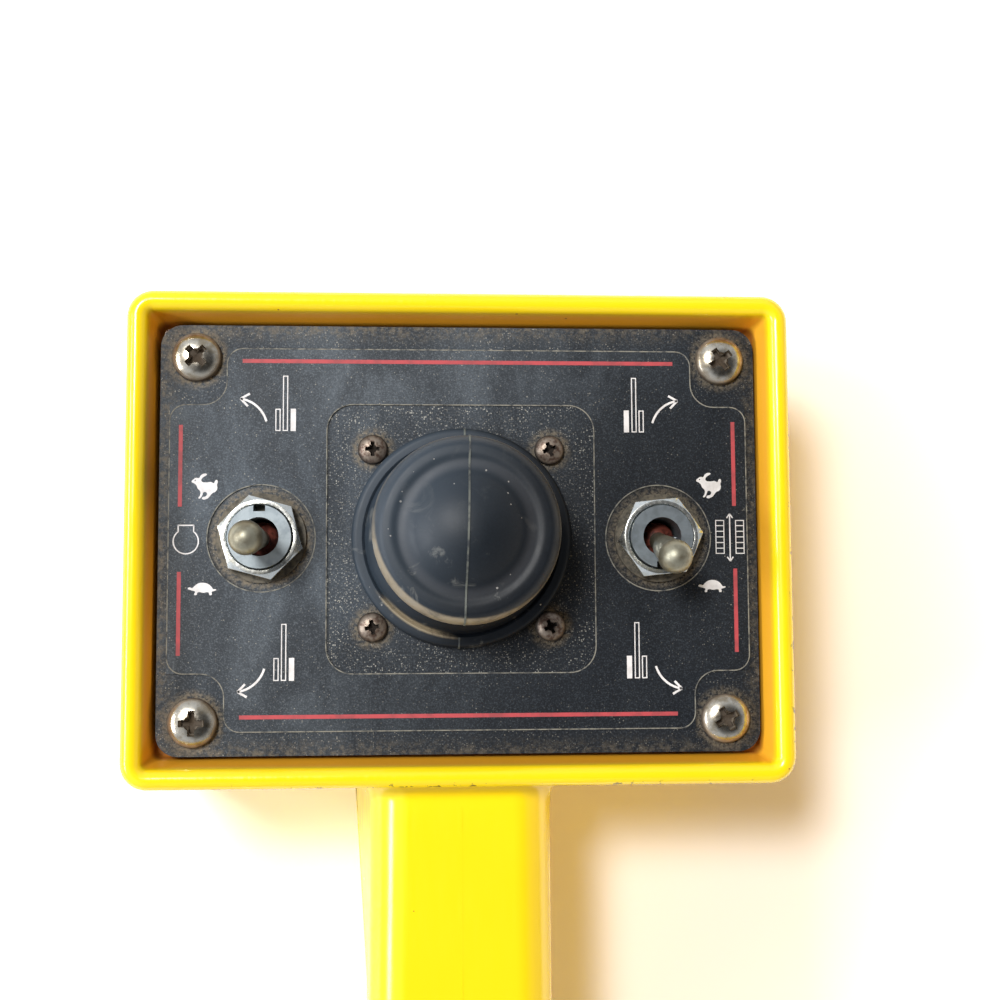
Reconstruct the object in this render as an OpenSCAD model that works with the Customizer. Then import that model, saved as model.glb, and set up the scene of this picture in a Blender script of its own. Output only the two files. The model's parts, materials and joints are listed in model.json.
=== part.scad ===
// Pendant control station: a moulded box with a bezel, a joystick, two toggle switches and a handle.
// Millimetres. The origin is on the flat back, straight under the joystick. +X is to the right,
// +Y away from the handle and +Z towards the user. The station lies on its back.

/* [Box] */
// Width of the box across the bezel
box_w = 126; // [122:0.5:132]
// Length of the box across the bezel
box_l = 93.2; // [90:0.2:98]
// Outer corner radius of the box
box_corner_r = 5; // [4.5:0.5:8]
// Height of the control panel's top above the back
panel_top = 52; // [50:0.5:58]
// Height of the bezel above the control panel
bezel_rise = 6; // [5:0.5:8]
// Width of the bezel's rounded top
bezel_w = 3.9; // [3.5:0.1:4.3]
// Wall thickness of the box and the handle
wall = 3.2; // [2.6:0.1:3.6]

/* [Handle] */
// Length of the handle from the box's lower wall to its end
handle_l = 115; // [105:1:130]
// Width of the handle's front face at the box
handle_front_w = 33.4; // [32:0.2:36]
// Width of the handle's front face at its end
handle_front_end_w = 35.2; // [34:0.2:37]
// Width of the handle's back at the box
handle_root_w = 44.8; // [42:0.2:48]
// Width of the handle's back in the grip
handle_grip_w = 37.8; // [37:0.2:40]
// Distance from the control panel's top down to the handle's front face
handle_step = 2; // [1:0.5:4]
// Radius of the handle's long edges
handle_edge_r = 7; // [6:0.5:9]

/* [Control panel] */
// Thickness of the control panel
panel_t = 2; // [1.5:0.1:3]
// Corner radius of the control panel
panel_corner_r = 4.2; // [3:0.1:6]
// Thickness of the printed overlay
overlay_t = 0.3; // [0.2:0.05:0.5]
// Head diameter of the corner screws
panel_screw_head_d = 9.3; // [8.5:0.1:10]
// Thread diameter of the corner screws
panel_screw_d = 4.8; // [4:0.1:5]

/* [Toggle switches] */
// Distance of each toggle switch from the joystick's axis
toggle_x = 38; // [37:0.5:41]
// Outer diameter of the threaded bushing
bushing_d = 11.9; // [11.5:0.1:12.2]
// Bore of the bushing
bushing_bore_d = 7.3; // [7:0.1:7.6]
// Height of the bushing above the control panel
bushing_rise = 5; // [4.6:0.1:6]
// Width across the flats of the switch nuts
toggle_nut_af = 14.3; // [14:0.1:15]
// Diameter of the lever's round tip
lever_tip_d = 6.3; // [5.8:0.1:6.6]
// Length of the lever from its pivot to its tip
lever_reach = 24; // [20:0.5:28]
// Throw of a toggle lever to each side of upright, in degrees
toggle_throw = 12.5; // [10:0.5:13]

/* [Joystick] */
// Side of the joystick's square mounting screw pattern
stick_screw_pitch = 33.9; // [33.5:0.1:34.5]
// Diameter of the boot's base ring
boot_base_d = 42; // [41.8:0.05:42.1]
// Height of the boot's dome above the control panel
boot_rise = 30; // [29:0.5:36]
// Diameter of the boot's mushroom cap
boot_cap_d = 33.6; // [32:0.2:34]
// Depth of the joystick's pivot below the control panel's top
stick_pivot_depth = 10; // [9.5:0.5:11]

/* [Cable gland] */
// Bore of the gland's seal, for the control cable
cable_bore_d = 8; // [7:0.5:8.5]
// Thread diameter of the gland
gland_thread_d = 16; // [15:0.5:17]
// Width across the flats of the gland's hexagons
gland_af = 20; // [19:0.5:21]

/* [Hidden] */
$fn = 64;
hull_fn = 32;

// Clearances
// Overrun of every cut past the face that it leaves
cut = 0.5;
// Thickness of a slice that a hull spans
slice_t = 0.2;
// Gap between pieces that lie loosely beside each other
fit_gap = 0.2;
// Gap round a screw in its own thread
thread_gap = 0.05;
// Radial gap of a turning pin in its bore
running_gap = 0.05;

// Box and bezel
bezel_r = bezel_w / 2;
bezel_top = panel_top + bezel_rise;
bezel_spring_z = bezel_top - bezel_r;
bezel_slope = 1.6;
parting_z = 10;
cover_gasket_t = 0.8;
cover_top = parting_z - cover_gasket_t;
cover_edge_r = 2.4;
cavity_corner_r = 2;
cavity_w = box_w - 2 * wall;
cavity_l = box_l - 2 * wall;
well_corner_r = 1.5;
well_w = box_w - 2 * (bezel_w + bezel_slope);
well_l = box_l - 2 * (bezel_w + bezel_slope);
gasket_inset = 0.9;
gasket_w = 1.5;

// Control panel and what carries it
panel_w = well_w - 2 * fit_gap;
panel_l = well_l - 2 * fit_gap;
panel_under = panel_top - panel_t;
panel_gasket_t = 1.5;
ledge_top = panel_under - panel_gasket_t;
ledge_t = 3;
ledge_w = 4;
panel_screw_inset_x = 6.85;
panel_screw_inset_y = 6.3;
panel_screw_x = panel_w / 2 - panel_screw_inset_x;
panel_screw_y = panel_l / 2 - panel_screw_inset_y;
panel_screw_head_h = 2.6;
panel_screw_l = 13;
panel_hole_d = panel_screw_d + 0.14 * panel_screw_d;
post_r = 5.2;
rib_t = 2;
insert_r = 3.2;
insert_l = 9;
insert_groove = 0.4;
insert_bottom = ledge_top - insert_l;
insert_hole_extra = 3;
corner_places = [for (x = [-1, 1], y = [-1, 1]) [x * panel_screw_x, y * panel_screw_y]];

// Overlay outline
overlay_inset_x = 1.9;
overlay_inset_y = 4.5;
overlay_w = panel_w - 2 * overlay_inset_x;
overlay_l = panel_l - 2 * overlay_inset_y;
overlay_corner_r = 1.5;
notch_w = 10.7;
notch_l = 10.9;
notch_r = 4.5;
toggle_window_r = 10.2;
stick_window = 51.4;
stick_window_r = 5;

// Cover screws
cover_screw_d = 4;
cover_screw_head_d = 7.4;
cover_screw_head_h = 2.6;
cover_screw_l = 16;
cover_screw_seat = 4;
cover_sink_r = 4.3;
cover_hole_d = 4.4;
pilot_depth = 12;
handle_post_r = 3.6;
handle_post_x = handle_front_end_w / 4;
handle_post_inset = 15;

// Handle outline: y of each station, half the front width, half the back width
handle_front_z = panel_top - handle_step;
handle_root_y = -box_l / 2;
handle_end_y = handle_root_y - handle_l;
handle_start_y = handle_root_y + wall / 2;
grip_start = 45;
handle_end_r = 3.5;
flare = 3;
flare_l = 3.5;
root_station = [handle_start_y, handle_front_w / 2, handle_root_w / 2];
grip_station = [handle_root_y - grip_start, handle_front_w / 2 + 0.6, handle_grip_w / 2];
end_station = [handle_end_y + handle_end_r, handle_front_end_w / 2, handle_grip_w / 2 - 0.4];
handle_post_y = handle_end_y + handle_post_inset;
handle_post_places = [for (x = [-1, 1]) [x * handle_post_x, handle_post_y]];

// Toggle switch, heights from the back of the station
toggle_pivot_depth = 2.5;
toggle_pivot_z = panel_top - toggle_pivot_depth;
bushing_top = panel_top + bushing_rise;
bushing_l = 12;
bushing_bottom = bushing_top - bushing_l;
keyway_w = 2.2;
keyway_depth = 1.2;
tab_washer_d = 17;
tab_washer_t = 0.8;
toggle_nut_t = 3.2;
back_nut_t = 2.2;
tooth_washer_t = 0.6;
tooth_washer_d = 17.4;
tooth_l = 1;
tooth_w = 1.2;
tooth_count = 12;
left_nut_turn = -15;
right_nut_turn = 6;
bracket_t = 1.5;
strap_t = 1;
strap_w = 9;
strap_l = 12;
case_w = 17.6;
case_l = 27.6;
case_h = 20;
case_top = bushing_bottom - bracket_t;
case_bottom = case_top - case_h;
case_wall = 3.6;
case_floor = 6;
case_floor_z = case_bottom + case_floor;
bracket_l = case_l + 2 * strap_t + 2 * fit_gap;
ball_r = 2.6;
seal_t = 0.85;
seal_base = 1.1;
lever_neck_r = 1.75;
lever_neck_top = 7;
lever_leg_r = 1.6;
lever_leg_l = 8.5;
pivot_pin_r = 0.75;
plunger_r = 0.95;
plunger_reach = 13.6;
plunger_head = 5;
plunger_hole_l = 6;
left_lever_lean = 3;
left_lever_side_lean = 3;
right_lever_lean = toggle_throw;
rocker_ratio = -0.6;
rocker_hub_r = 1.5;
rocker_w = 5;
rocker_l = 15;
rocker_t = 1.2;
rocker_above_hub = 0.8;
rocker_gap = 0.4;
rocker_top = toggle_pivot_z - plunger_reach - rocker_gap;
rocker_pivot_z = rocker_top - rocker_t - rocker_above_hub;
blade_w = 4.8;
blade_t = 0.8;
blade_l = 8;
terminal_pitch = 6.5;
stand_l = 4.6;
contact_l = 2.4;
contact_gap = 1.3;

// Joystick
stick_pivot_z = panel_top - stick_pivot_depth;
stick_tilt = 18;
frame_side = 44;
frame_corner_r = 3;
frame_h = 30;
frame_bottom = panel_under - frame_h;
frame_well_r = 17.4;
board_pocket = 36;
board_pocket_h = 7;
board_pocket_r = 2;
stick_cover_t = 2;
stick_screw_d = 3;
stick_screw_head_d = 5.7;
stick_screw_head_h = 2;
stick_screw_l = 10;
stick_hole_d = 3.3;
stick_places = [for (x = [-1, 1], y = [-1, 1]) [x * stick_screw_pitch / 2, y * stick_screw_pitch / 2]];
cover_small_screw_d = 2.5;
cover_small_head_d = 4.4;
cover_small_head_h = 1.6;
cover_small_screw_l = 8;
cover_small_inset = 2.6;
cover_small_place = frame_side / 2 - cover_small_inset;
panel_window_r = 18.5;
lip_r = 20.4;
lip_t = 1;
neck_r = 18.2;
boot_inner_r = 16.9;
ring_outer_r = 13.6;
ring_inner_r = 10.2;
ring_h = 6;
gimbal_pin_r = 2;
gimbal_pin_end = 21.4;
hub_r = 5;
hub_w = 11.6;
stick_pin_r = 1.75;
shaft_r = 4;
shaft_low_r = 3.2;
shaft_low_l = 7;
thread_r = 3;
holder_r = 4.2;
holder_l = 5;
magnet_r = 2.5;
magnet_t = 2;
board_side = 34;
board_t = 1.6;
board_gap = 1.4;
chip_side = 4;
chip_t = 0.9;
socket_w = 14;
socket_l = 7;
socket_wall = 1;
socket_h = 8;
spring_wire_r = 0.4;
spring_coil_r = 3.3;
spring_turns = 2.5;
spring_leg = 5;
side_spring_x = ring_outer_r + 0.55;
fore_spring_y = hub_w / 2 + 0.8;
coil_steps = 16;
coil_sides = 6;

// Boot and knob, heights above the control panel
boot_t = 1.8;
base_ring_h = 2.2;
groove_r = 18.2;
waist_h = 8.5;
waist_r = 14.5;
boot_split_h = 12;
boot_split_r = 14.9;
crest_h = 22.4;
crest_roll_r = 3.6;
crest_r = boot_cap_d / 2;
valley_r = 12;
valley_h = boot_rise - 4.8;
dome_r = 15;
dome_base_shares = [0.7, 0.5, 0.25, 0];
knob_gap = 0.15;
knob_bottom_h = boot_split_h + 1.2;
knob_bottom_r = 11.4;
knob_top_h = boot_rise - 7;
knob_nut_af = 10;
knob_nut_t = 3;
shaft_end = 0.4;
panel_relief = 0.6;

// Cable gland, along -Y from the handle's end
gland_z = 25;
gland_washer_t = 1.2;
gland_hex_t = 5;
gland_inner_l = 10;
gland_outer_l = 9;
gland_bore_r = cable_bore_d / 2 + 0.5;
gland_seal_r = 5.9;
gland_seal_l = 8;
gland_outer_r = 7.6;
locknut_t = 4;
dome_l = 15;
dome_r_out = 9.4;
dome_mouth_r = cable_bore_d / 2 + 0.6;
gland_face_y = handle_end_y - gland_washer_t;
gland_hex_end_y = gland_face_y - gland_hex_t;
gland_seal_y = gland_hex_end_y - gland_outer_l + gland_seal_l;

// Terminal strip and inner leads
strip_w = 50;
strip_l = 12;
strip_h = 7;
strip_y = -33;
strip_ways = 6;
strip_pitch = 8;
barrier_h = 3.5;
barrier_t = 1.4;
strip_screw_r = 1.9;
strip_screw_h = 1.6;
strip_screw_d = 2;
strip_screw_l = 2.8;
lead_r = 0.8;
lead_sides = 8;
lead_steps = 4;
left_lead_routes = [
    [[-38, -6.5, 15.2], [-38, -6.5, 10], [-31, -13, 7], [-22, -21, 8], [-20, -25, 8.2], [-20, -26.8, 8.2]],
    [[-38, 0, 15.2], [-38, 0, 9], [-30, -8, 5], [-16, -18, 7], [-12, -24, 8.2], [-12, -26.8, 8.2]]
];
right_lead_routes = [
    [[38, -6.5, 15.2], [38, -6.5, 10], [31, -13, 7], [22, -21, 8], [20, -25, 8.2], [20, -26.8, 8.2]],
    [[38, 0, 15.2], [38, 0, 9], [30, -8, 5], [16, -18, 7], [12, -24, 8.2], [12, -26.8, 8.2]]
];
stick_lead_routes = [
    [[-4, 0, 11.8], [-4, 0, 8], [-4, -8, 5.5], [-4, -18, 7], [-4, -24, 8.2], [-4, -26.8, 8.2]],
    [[4, 0, 11.8], [4, 0, 8], [4, -8, 5.5], [4, -18, 7], [4, -24, 8.2], [4, -26.8, 8.2]]
];

// Shapes that repeat

module rounded_outline(w, l, r) {
    square([w - 2 * r, l], center = true);
    square([w, l - 2 * r], center = true);
    for (x = [-1, 1], y = [-1, 1])
        translate([x * (w / 2 - r), y * (l / 2 - r)]) circle(r);
}

module rounded_plate(w, l, r, h) {
    linear_extrude(h) rounded_outline(w, l, r);
}

module at_places(places, z) {
    for (p = places) translate([p[0], p[1], z]) children();
}

module ring(r_out, r_in, h) {
    difference() {
        cylinder(r = r_out, h = h);
        translate([0, 0, -cut]) cylinder(r = r_in, h = h + 2 * cut);
    }
}

// A pan head screw that points down from z = 0, with a cross recess turned by `turn`
module pan_screw(head_d, head_h, shank_d, shank_l, turn) {
    dome = 1.15 * head_d / 2;
    recess_w = 0.13 * head_d;
    recess_l = 0.56 * head_d;
    recess_h = 0.6 * head_h;
    difference() {
        intersection() {
            cylinder(d = head_d, h = head_h);
            translate([0, 0, head_h - dome]) sphere(dome);
        }
        translate([0, 0, head_h - recess_h]) rotate([0, 0, turn]) {
            translate([-recess_l / 2, -recess_w / 2, 0]) cube([recess_l, recess_w, head_h]);
            translate([-recess_w / 2, -recess_l / 2, 0]) cube([recess_w, recess_l, head_h]);
            cylinder(d1 = recess_w, d2 = 2 * recess_w, h = recess_h + cut);
        }
    }
    translate([0, 0, -shank_l]) cylinder(d = shank_d, h = shank_l);
}

// A hexagon nut whose corners are chamfered on its top
module hex_nut(af, t, bore_r) {
    corner_d = af / cos(30);
    chamfer = (corner_d - af) / 2;
    difference() {
        intersection() {
            cylinder(d = corner_d, h = t, $fn = 6);
            union() {
                cylinder(d = corner_d, h = t - chamfer / 2);
                translate([0, 0, t - chamfer / 2]) cylinder(d1 = corner_d, d2 = af, h = chamfer / 2);
            }
        }
        translate([0, 0, -cut]) cylinder(r = bore_r, h = t + 2 * cut);
    }
}

// Frames that carry a ring of points along a path without twisting it
function unit(v) = v / norm(v);
function tangent(path, i) =
    unit(path[min(i + 1, len(path) - 1)] - path[max(i - 1, 0)]);
function square_to(n, t) = unit(n - (n * t) * t);
function carried(path) = [
    for (i = 0, n = square_to([0.31, 0.52, 0.79], tangent(path, 0)); i < len(path);
        i = i + 1, n = i < len(path) ? square_to(n, tangent(path, i)) : n) n
];
function smooth_path(points, steps) = [
    for (i = [0 : len(points) - 2], k = [0 : steps - 1])
        let (a = points[max(i - 1, 0)], b = points[i], c = points[i + 1],
            d = points[min(i + 2, len(points) - 1)], t = k / steps)
        0.5 * (2 * b + (c - a) * t + (2 * a - 5 * b + 4 * c - d) * t * t
            + (3 * b - 3 * c + d - a) * t * t * t),
    points[len(points) - 1]
];

module tube(path, r, sides) {
    normals = carried(path);
    count = len(path);
    rings = [
        for (i = [0 : count - 1], k = [0 : sides - 1])
            let (t = tangent(path, i), n = normals[i], b = cross(t, n), a = 360 * k / sides)
            path[i] + r * cos(a) * n + r * sin(a) * b
    ];
    skin = [
        for (i = [0 : count - 2], k = [0 : sides - 1])
            let (a = i * sides + k, b = i * sides + (k + 1) % sides)
            each [[a, a + sides, b], [b, a + sides, b + sides]]
    ];
    ends = [
        for (k = [1 : sides - 2])
            each [[0, k, k + 1], [(count - 1) * sides, (count - 1) * sides + k + 1, (count - 1) * sides + k]]
    ];
    polyhedron(points = rings, faces = concat(skin, ends), convexity = 6);
}

// A coil of wire round the Z axis from z = 0 up
module coil(coil_r, wire_r, turns, pitch, leg) {
    steps = turns * coil_steps;
    start_leg = [coil_r, -leg, 0];
    turned = [for (k = [0 : steps])
        [coil_r * cos(360 * k / coil_steps), coil_r * sin(360 * k / coil_steps), pitch * k / coil_steps]];
    tube(leg > 0 ? concat([start_leg], turned) : turned, wire_r, coil_sides);
}

// Handle sections

module handle_section(station, shift, inset, y_extra = 0) {
    r = handle_edge_r - inset;
    translate([0, station[0] + y_extra, 0]) rotate([90, 0, 0]) for (s = [-1, 1]) {
        translate([s * (station[1] + shift - handle_edge_r), handle_front_z + shift - handle_edge_r, 0])
            cylinder(r = r, h = slice_t, $fn = hull_fn);
        translate([s * (station[2] + shift - handle_edge_r), handle_edge_r - shift, 0])
            cylinder(r = r, h = slice_t, $fn = hull_fn);
    }
}

module handle_outer() {
    hull() {
        handle_section(root_station, 0, 0);
        handle_section(grip_station, 0, 0);
    }
    hull() {
        handle_section(grip_station, 0, 0);
        handle_section(end_station, 0, 0);
        handle_section(end_station, 0, handle_end_r, -handle_end_r + slice_t);
    }
    hull() {
        handle_section(root_station, flare, 0);
        handle_section([handle_root_y - flare_l, handle_front_w / 2, handle_root_w / 2], 0, 0);
    }
}

module handle_hollow() {
    hull() {
        handle_section(root_station, 0, wall, wall);
        handle_section(grip_station, 0, wall);
    }
    hull() {
        handle_section(grip_station, 0, wall);
        handle_section(end_station, 0, wall);
        handle_section(end_station, 0, wall, wall - handle_end_r);
    }
}

module half_space(low_z, high_z) {
    translate([-box_w, handle_end_y - box_l, low_z]) cube([2 * box_w, 3 * box_l + handle_l, high_z - low_z]);
}

// Box and its fixings

module bezel_profile() {
    intersection() {
        circle(bezel_r);
        translate([-bezel_w, 0]) square([2 * bezel_w, bezel_w]);
    }
}

module bezel_cap() {
    bar_x = box_w / 2 - bezel_r;
    bar_y = box_l / 2 - bezel_r;
    long = box_w - 2 * box_corner_r;
    short = box_l - 2 * box_corner_r;
    translate([0, 0, bezel_spring_z]) {
        for (s = [-1, 1]) {
            translate([s * bar_x, short / 2, 0]) rotate([90, 0, 0]) linear_extrude(short) bezel_profile();
            translate([-long / 2, s * bar_y, 0]) rotate([90, 0, 90]) linear_extrude(long) bezel_profile();
        }
        for (c = [[1, 1, 0], [-1, 1, 90], [-1, -1, 180], [1, -1, 270]])
            translate([c[0] * long / 2, c[1] * short / 2, 0]) rotate([0, 0, c[2]])
                rotate_extrude(angle = 90) translate([box_corner_r - bezel_r, 0]) bezel_profile();
    }
}

module bezel_well() {
    hull() {
        translate([0, 0, bezel_spring_z]) rounded_plate(box_w - 2 * bezel_w, box_l - 2 * bezel_w,
            box_corner_r - bezel_w, slice_t);
        translate([0, 0, ledge_top]) rounded_plate(well_w, well_l, well_corner_r, slice_t);
    }
}

module corner_posts(low_z, high_z) {
    for (x = [-1, 1], y = [-1, 1]) {
        translate([x * panel_screw_x, y * panel_screw_y, low_z]) cylinder(r = post_r, h = high_z - low_z);
        translate([x > 0 ? panel_screw_x + post_r - rib_t / 2 : -cavity_w / 2 - fit_gap,
            y * panel_screw_y - rib_t / 2, low_z])
            cube([cavity_w / 2 + fit_gap - panel_screw_x - post_r + rib_t / 2, rib_t, high_z - low_z]);
        translate([x * panel_screw_x - rib_t / 2,
            y > 0 ? panel_screw_y + post_r - rib_t / 2 : -cavity_l / 2 - fit_gap, low_z])
            cube([rib_t, cavity_l / 2 + fit_gap - panel_screw_y - post_r + rib_t / 2, high_z - low_z]);
    }
}

module housing() {
    color("gold") difference() {
        union() {
            difference() {
                union() {
                    translate([0, 0, parting_z])
                        rounded_plate(box_w, box_l, box_corner_r, bezel_spring_z - parting_z);
                    intersection() {
                        handle_outer();
                        half_space(parting_z, bezel_spring_z - bezel_slope);
                    }
                }
                translate([0, 0, parting_z - cut])
                    rounded_plate(cavity_w, cavity_l, cavity_corner_r, ledge_top - ledge_t - parting_z + cut);
                translate([0, 0, parting_z]) rounded_plate(well_w - 2 * ledge_w, well_l - 2 * ledge_w,
                    cavity_corner_r, ledge_top - parting_z + cut);
                bezel_well();
                handle_hollow();
            }
            bezel_cap();
            corner_posts(parting_z, ledge_top);
            at_places(handle_post_places, parting_z)
                cylinder(r = handle_post_r, h = handle_front_z - wall / 2 - parting_z);
        }
        at_places(corner_places, insert_bottom) cylinder(r = insert_r, h = insert_l + cut);
        at_places(corner_places, insert_bottom - insert_hole_extra)
            cylinder(d = panel_screw_d + 2 * thread_gap, h = insert_hole_extra + cut);
        at_places(concat(corner_places, handle_post_places), parting_z - cut)
            cylinder(d = cover_screw_d + 2 * thread_gap, h = pilot_depth + cut);
        translate([0, handle_end_y - cut, gland_z]) rotate([-90, 0, 0])
            cylinder(d = gland_thread_d + 2 * thread_gap, h = wall + 2 * cut);
    }
}

module cover_plan(inset) {
    rounded_outline(box_w - 2 * inset, box_l - 2 * inset, box_corner_r - inset);
}

module back_cover() {
    color("gold") difference() {
        union() {
            difference() {
                union() {
                    hull() for (k = [0 : 3])
                        translate([0, 0, cover_edge_r * (1 - cos(30 * k))])
                            rounded_plate(box_w - 2 * cover_edge_r * (1 - sin(30 * k)),
                                box_l - 2 * cover_edge_r * (1 - sin(30 * k)), box_corner_r, slice_t);
                    translate([0, 0, cover_edge_r])
                        rounded_plate(box_w, box_l, box_corner_r, cover_top - cover_edge_r);
                    intersection() {
                        handle_outer();
                        half_space(0, cover_top);
                    }
                }
                translate([0, 0, wall])
                    rounded_plate(cavity_w, cavity_l, cavity_corner_r, cover_top);
                handle_hollow();
            }
            corner_posts(wall / 2, cover_top);
            at_places(handle_post_places, wall / 2)
                cylinder(r = handle_post_r, h = cover_top - wall / 2);
            at_places(handle_post_places, 0)
                cylinder(r = cover_sink_r + wall / 2, h = cover_screw_seat + wall / 2);
        }
        at_places(concat(corner_places, handle_post_places), -cut) {
            cylinder(d = cover_hole_d, h = cover_top + 2 * cut);
            cylinder(r = cover_sink_r, h = cover_screw_seat + cut);
        }
    }
}

module handle_plan(inset) {
    widths = [root_station[2], grip_station[2], end_station[2]] - inset * [1, 1, 1];
    ys = [handle_start_y, grip_station[0], handle_end_y + inset];
    polygon([
        [-widths[0], ys[0]], [-widths[1], ys[1]], [-widths[2], ys[2]],
        [widths[2], ys[2]], [widths[1], ys[1]], [widths[0], ys[0]]
    ]);
}

module cover_gasket() {
    color("dimgray") translate([0, 0, cover_top]) linear_extrude(cover_gasket_t) difference() {
        union() {
            cover_plan(gasket_inset);
            handle_plan(gasket_inset);
        }
        cover_plan(gasket_inset + gasket_w);
        handle_plan(gasket_inset + gasket_w);
    }
}

module cover_screws() {
    color("silver") at_places(concat(corner_places, handle_post_places), cover_screw_seat)
        mirror([0, 0, 1])
            pan_screw(cover_screw_head_d, cover_screw_head_h, cover_screw_d, cover_screw_l, 0);
}

module panel_inserts() {
    color("goldenrod") at_places(corner_places, insert_bottom) difference() {
        cylinder(r = insert_r, h = insert_l);
        translate([0, 0, -cut]) cylinder(d = panel_screw_d + 2 * thread_gap, h = insert_l + 2 * cut);
        for (k = [1 : 3]) translate([0, 0, k * insert_l / 4])
            ring(insert_r + cut, insert_r - insert_groove, insert_groove);
    }
}

// Control panel

module panel_cuts(depth, extra) {
    at_places(corner_places, -cut) cylinder(d = panel_hole_d + 2 * extra, h = depth + 2 * cut);
}

module control_panel() {
    color("#20242c") translate([0, 0, panel_under]) difference() {
        rounded_plate(panel_w, panel_l, panel_corner_r, panel_t);
        panel_cuts(panel_t, 0);
        at_places(stick_places, -cut) cylinder(d = stick_hole_d, h = panel_t + 2 * cut);
        translate([0, 0, -cut]) cylinder(r = panel_window_r, h = panel_t + 2 * cut);
        for (s = [-1, 1]) translate([s * toggle_x, 0, -cut])
            cylinder(d = bushing_d + 2 * fit_gap, h = panel_t + 2 * cut);
    }
}

module panel_gasket() {
    color("#151515") translate([0, 0, ledge_top]) difference() {
        rounded_plate(panel_w - 2 * fit_gap, panel_l - 2 * fit_gap, panel_corner_r, panel_gasket_t);
        translate([0, 0, -cut]) linear_extrude(panel_gasket_t + 2 * cut) difference() {
            rounded_outline(well_w - 2 * ledge_w, well_l - 2 * ledge_w, cavity_corner_r);
            for (p = corner_places) translate(p) circle(post_r);
        }
        panel_cuts(panel_gasket_t, fit_gap);
    }
}

module notch_outline(x, y) {
    inner_x = overlay_w / 2 - notch_w;
    inner_y = overlay_l / 2 - notch_l;
    translate([x * (inner_x + notch_w), y * (inner_y + notch_l)])
        square([2 * (notch_w - notch_r), 2 * notch_l], center = true);
    translate([x * (inner_x + notch_w), y * (inner_y + notch_l)])
        square([2 * notch_w, 2 * (notch_l - notch_r)], center = true);
    translate([x * (inner_x + notch_r), y * (inner_y + notch_r)]) circle(notch_r);
}

module panel_overlay() {
    color("#16181c") translate([0, 0, panel_top]) linear_extrude(overlay_t) difference() {
        rounded_outline(overlay_w, overlay_l, overlay_corner_r);
        for (x = [-1, 1], y = [-1, 1]) notch_outline(x, y);
        for (s = [-1, 1]) translate([s * toggle_x, 0]) circle(toggle_window_r);
        rounded_outline(stick_window, stick_window, stick_window_r);
    }
}

module panel_screws() {
    color("lightgray") for (k = [0 : 3]) translate([corner_places[k][0], corner_places[k][1], panel_top])
        pan_screw(panel_screw_head_d, panel_screw_head_h, panel_screw_d, panel_screw_l, [0, 45, 30, 35][k]);
}

// Toggle switches, drawn round the lever's pivot at the origin and placed by toggle_at

module toggle_at(side) {
    translate([side * toggle_x, 0, toggle_pivot_z]) children();
}

// Height of a station's level, seen from the lever's pivot
function from_pivot(z) = z - toggle_pivot_z;

module toggle_bushing(key_side) {
    color("lightslategray") difference() {
        union() {
            translate([0, 0, from_pivot(bushing_bottom)]) cylinder(d = bushing_d, h = bushing_l);
            translate([-case_w / 2, -bracket_l / 2, from_pivot(case_top)]) cube([case_w, bracket_l, bracket_t]);
            for (s = [-1, 1]) translate([-strap_w / 2, s * (bracket_l - strap_t) / 2 - strap_t / 2,
                from_pivot(case_top) - strap_l]) cube([strap_w, strap_t, strap_l + cut]);
        }
        translate([0, 0, from_pivot(case_top) - cut])
            cylinder(d = bushing_bore_d, h = bushing_l + bracket_t + 2 * cut);
        translate([-keyway_w / 2, key_side > 0 ? bushing_d / 2 - keyway_depth : -bushing_d / 2 - cut,
            from_pivot(bushing_bottom) + bracket_t]) cube([keyway_w, keyway_depth + cut, bushing_l]);
        rotate([0, 90, 0]) cylinder(r = pivot_pin_r, h = bushing_d + 2 * cut, center = true);
    }
}

module toggle_pivot_pin() {
    color("silver") rotate([0, 90, 0])
        cylinder(r = pivot_pin_r, h = bushing_d - 2 * fit_gap, center = true);
}

module toggle_case() {
    color("#3a2a20") translate([0, 0, from_pivot(case_bottom)]) difference() {
        translate([-case_w / 2, -case_l / 2, 0]) cube([case_w, case_l, case_h]);
        translate([-case_w / 2 + case_wall, -case_l / 2 + case_wall, case_floor])
            cube([case_w - 2 * case_wall, case_l - 2 * case_wall, case_h]);
        for (k = [-1 : 1]) translate([-blade_w / 2 - thread_gap, k * terminal_pitch - blade_t / 2 - thread_gap, -cut])
            cube([blade_w + 2 * thread_gap, blade_t + 2 * thread_gap, case_floor + 2 * cut]);
    }
}

module toggle_nut(turn) {
    color("gainsboro") translate([0, 0, from_pivot(panel_top + tab_washer_t)]) rotate([0, 0, turn])
        hex_nut(toggle_nut_af, toggle_nut_t, bushing_d / 2 + thread_gap);
}

module toggle_tab_washer(key_side) {
    tab_w = keyway_w - 2 * thread_gap;
    tab_y = bushing_d / 2 - keyway_depth + fit_gap;
    color("silver") translate([0, 0, from_pivot(panel_top)]) {
        ring(tab_washer_d / 2, bushing_d / 2 + fit_gap / 2, tab_washer_t);
        translate([-tab_w / 2, key_side > 0 ? tab_y : -tab_y - keyway_depth, 0])
            cube([tab_w, keyway_depth, tab_washer_t]);
    }
}

module toggle_back_fixings() {
    inner_r = bushing_d / 2 + fit_gap / 2;
    color("silver") {
        translate([0, 0, from_pivot(panel_under - tooth_washer_t)]) {
            ring(tooth_washer_d / 2, inner_r + tooth_l, tooth_washer_t);
            for (k = [0 : tooth_count - 1]) rotate([0, 0, 360 * k / tooth_count])
                translate([inner_r, -tooth_w / 2, 0]) cube([tooth_l + fit_gap, tooth_w, tooth_washer_t]);
        }
        translate([0, 0, from_pivot(panel_under - tooth_washer_t - back_nut_t)])
            hex_nut(toggle_nut_af, back_nut_t, bushing_d / 2 + thread_gap);
    }
}

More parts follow.
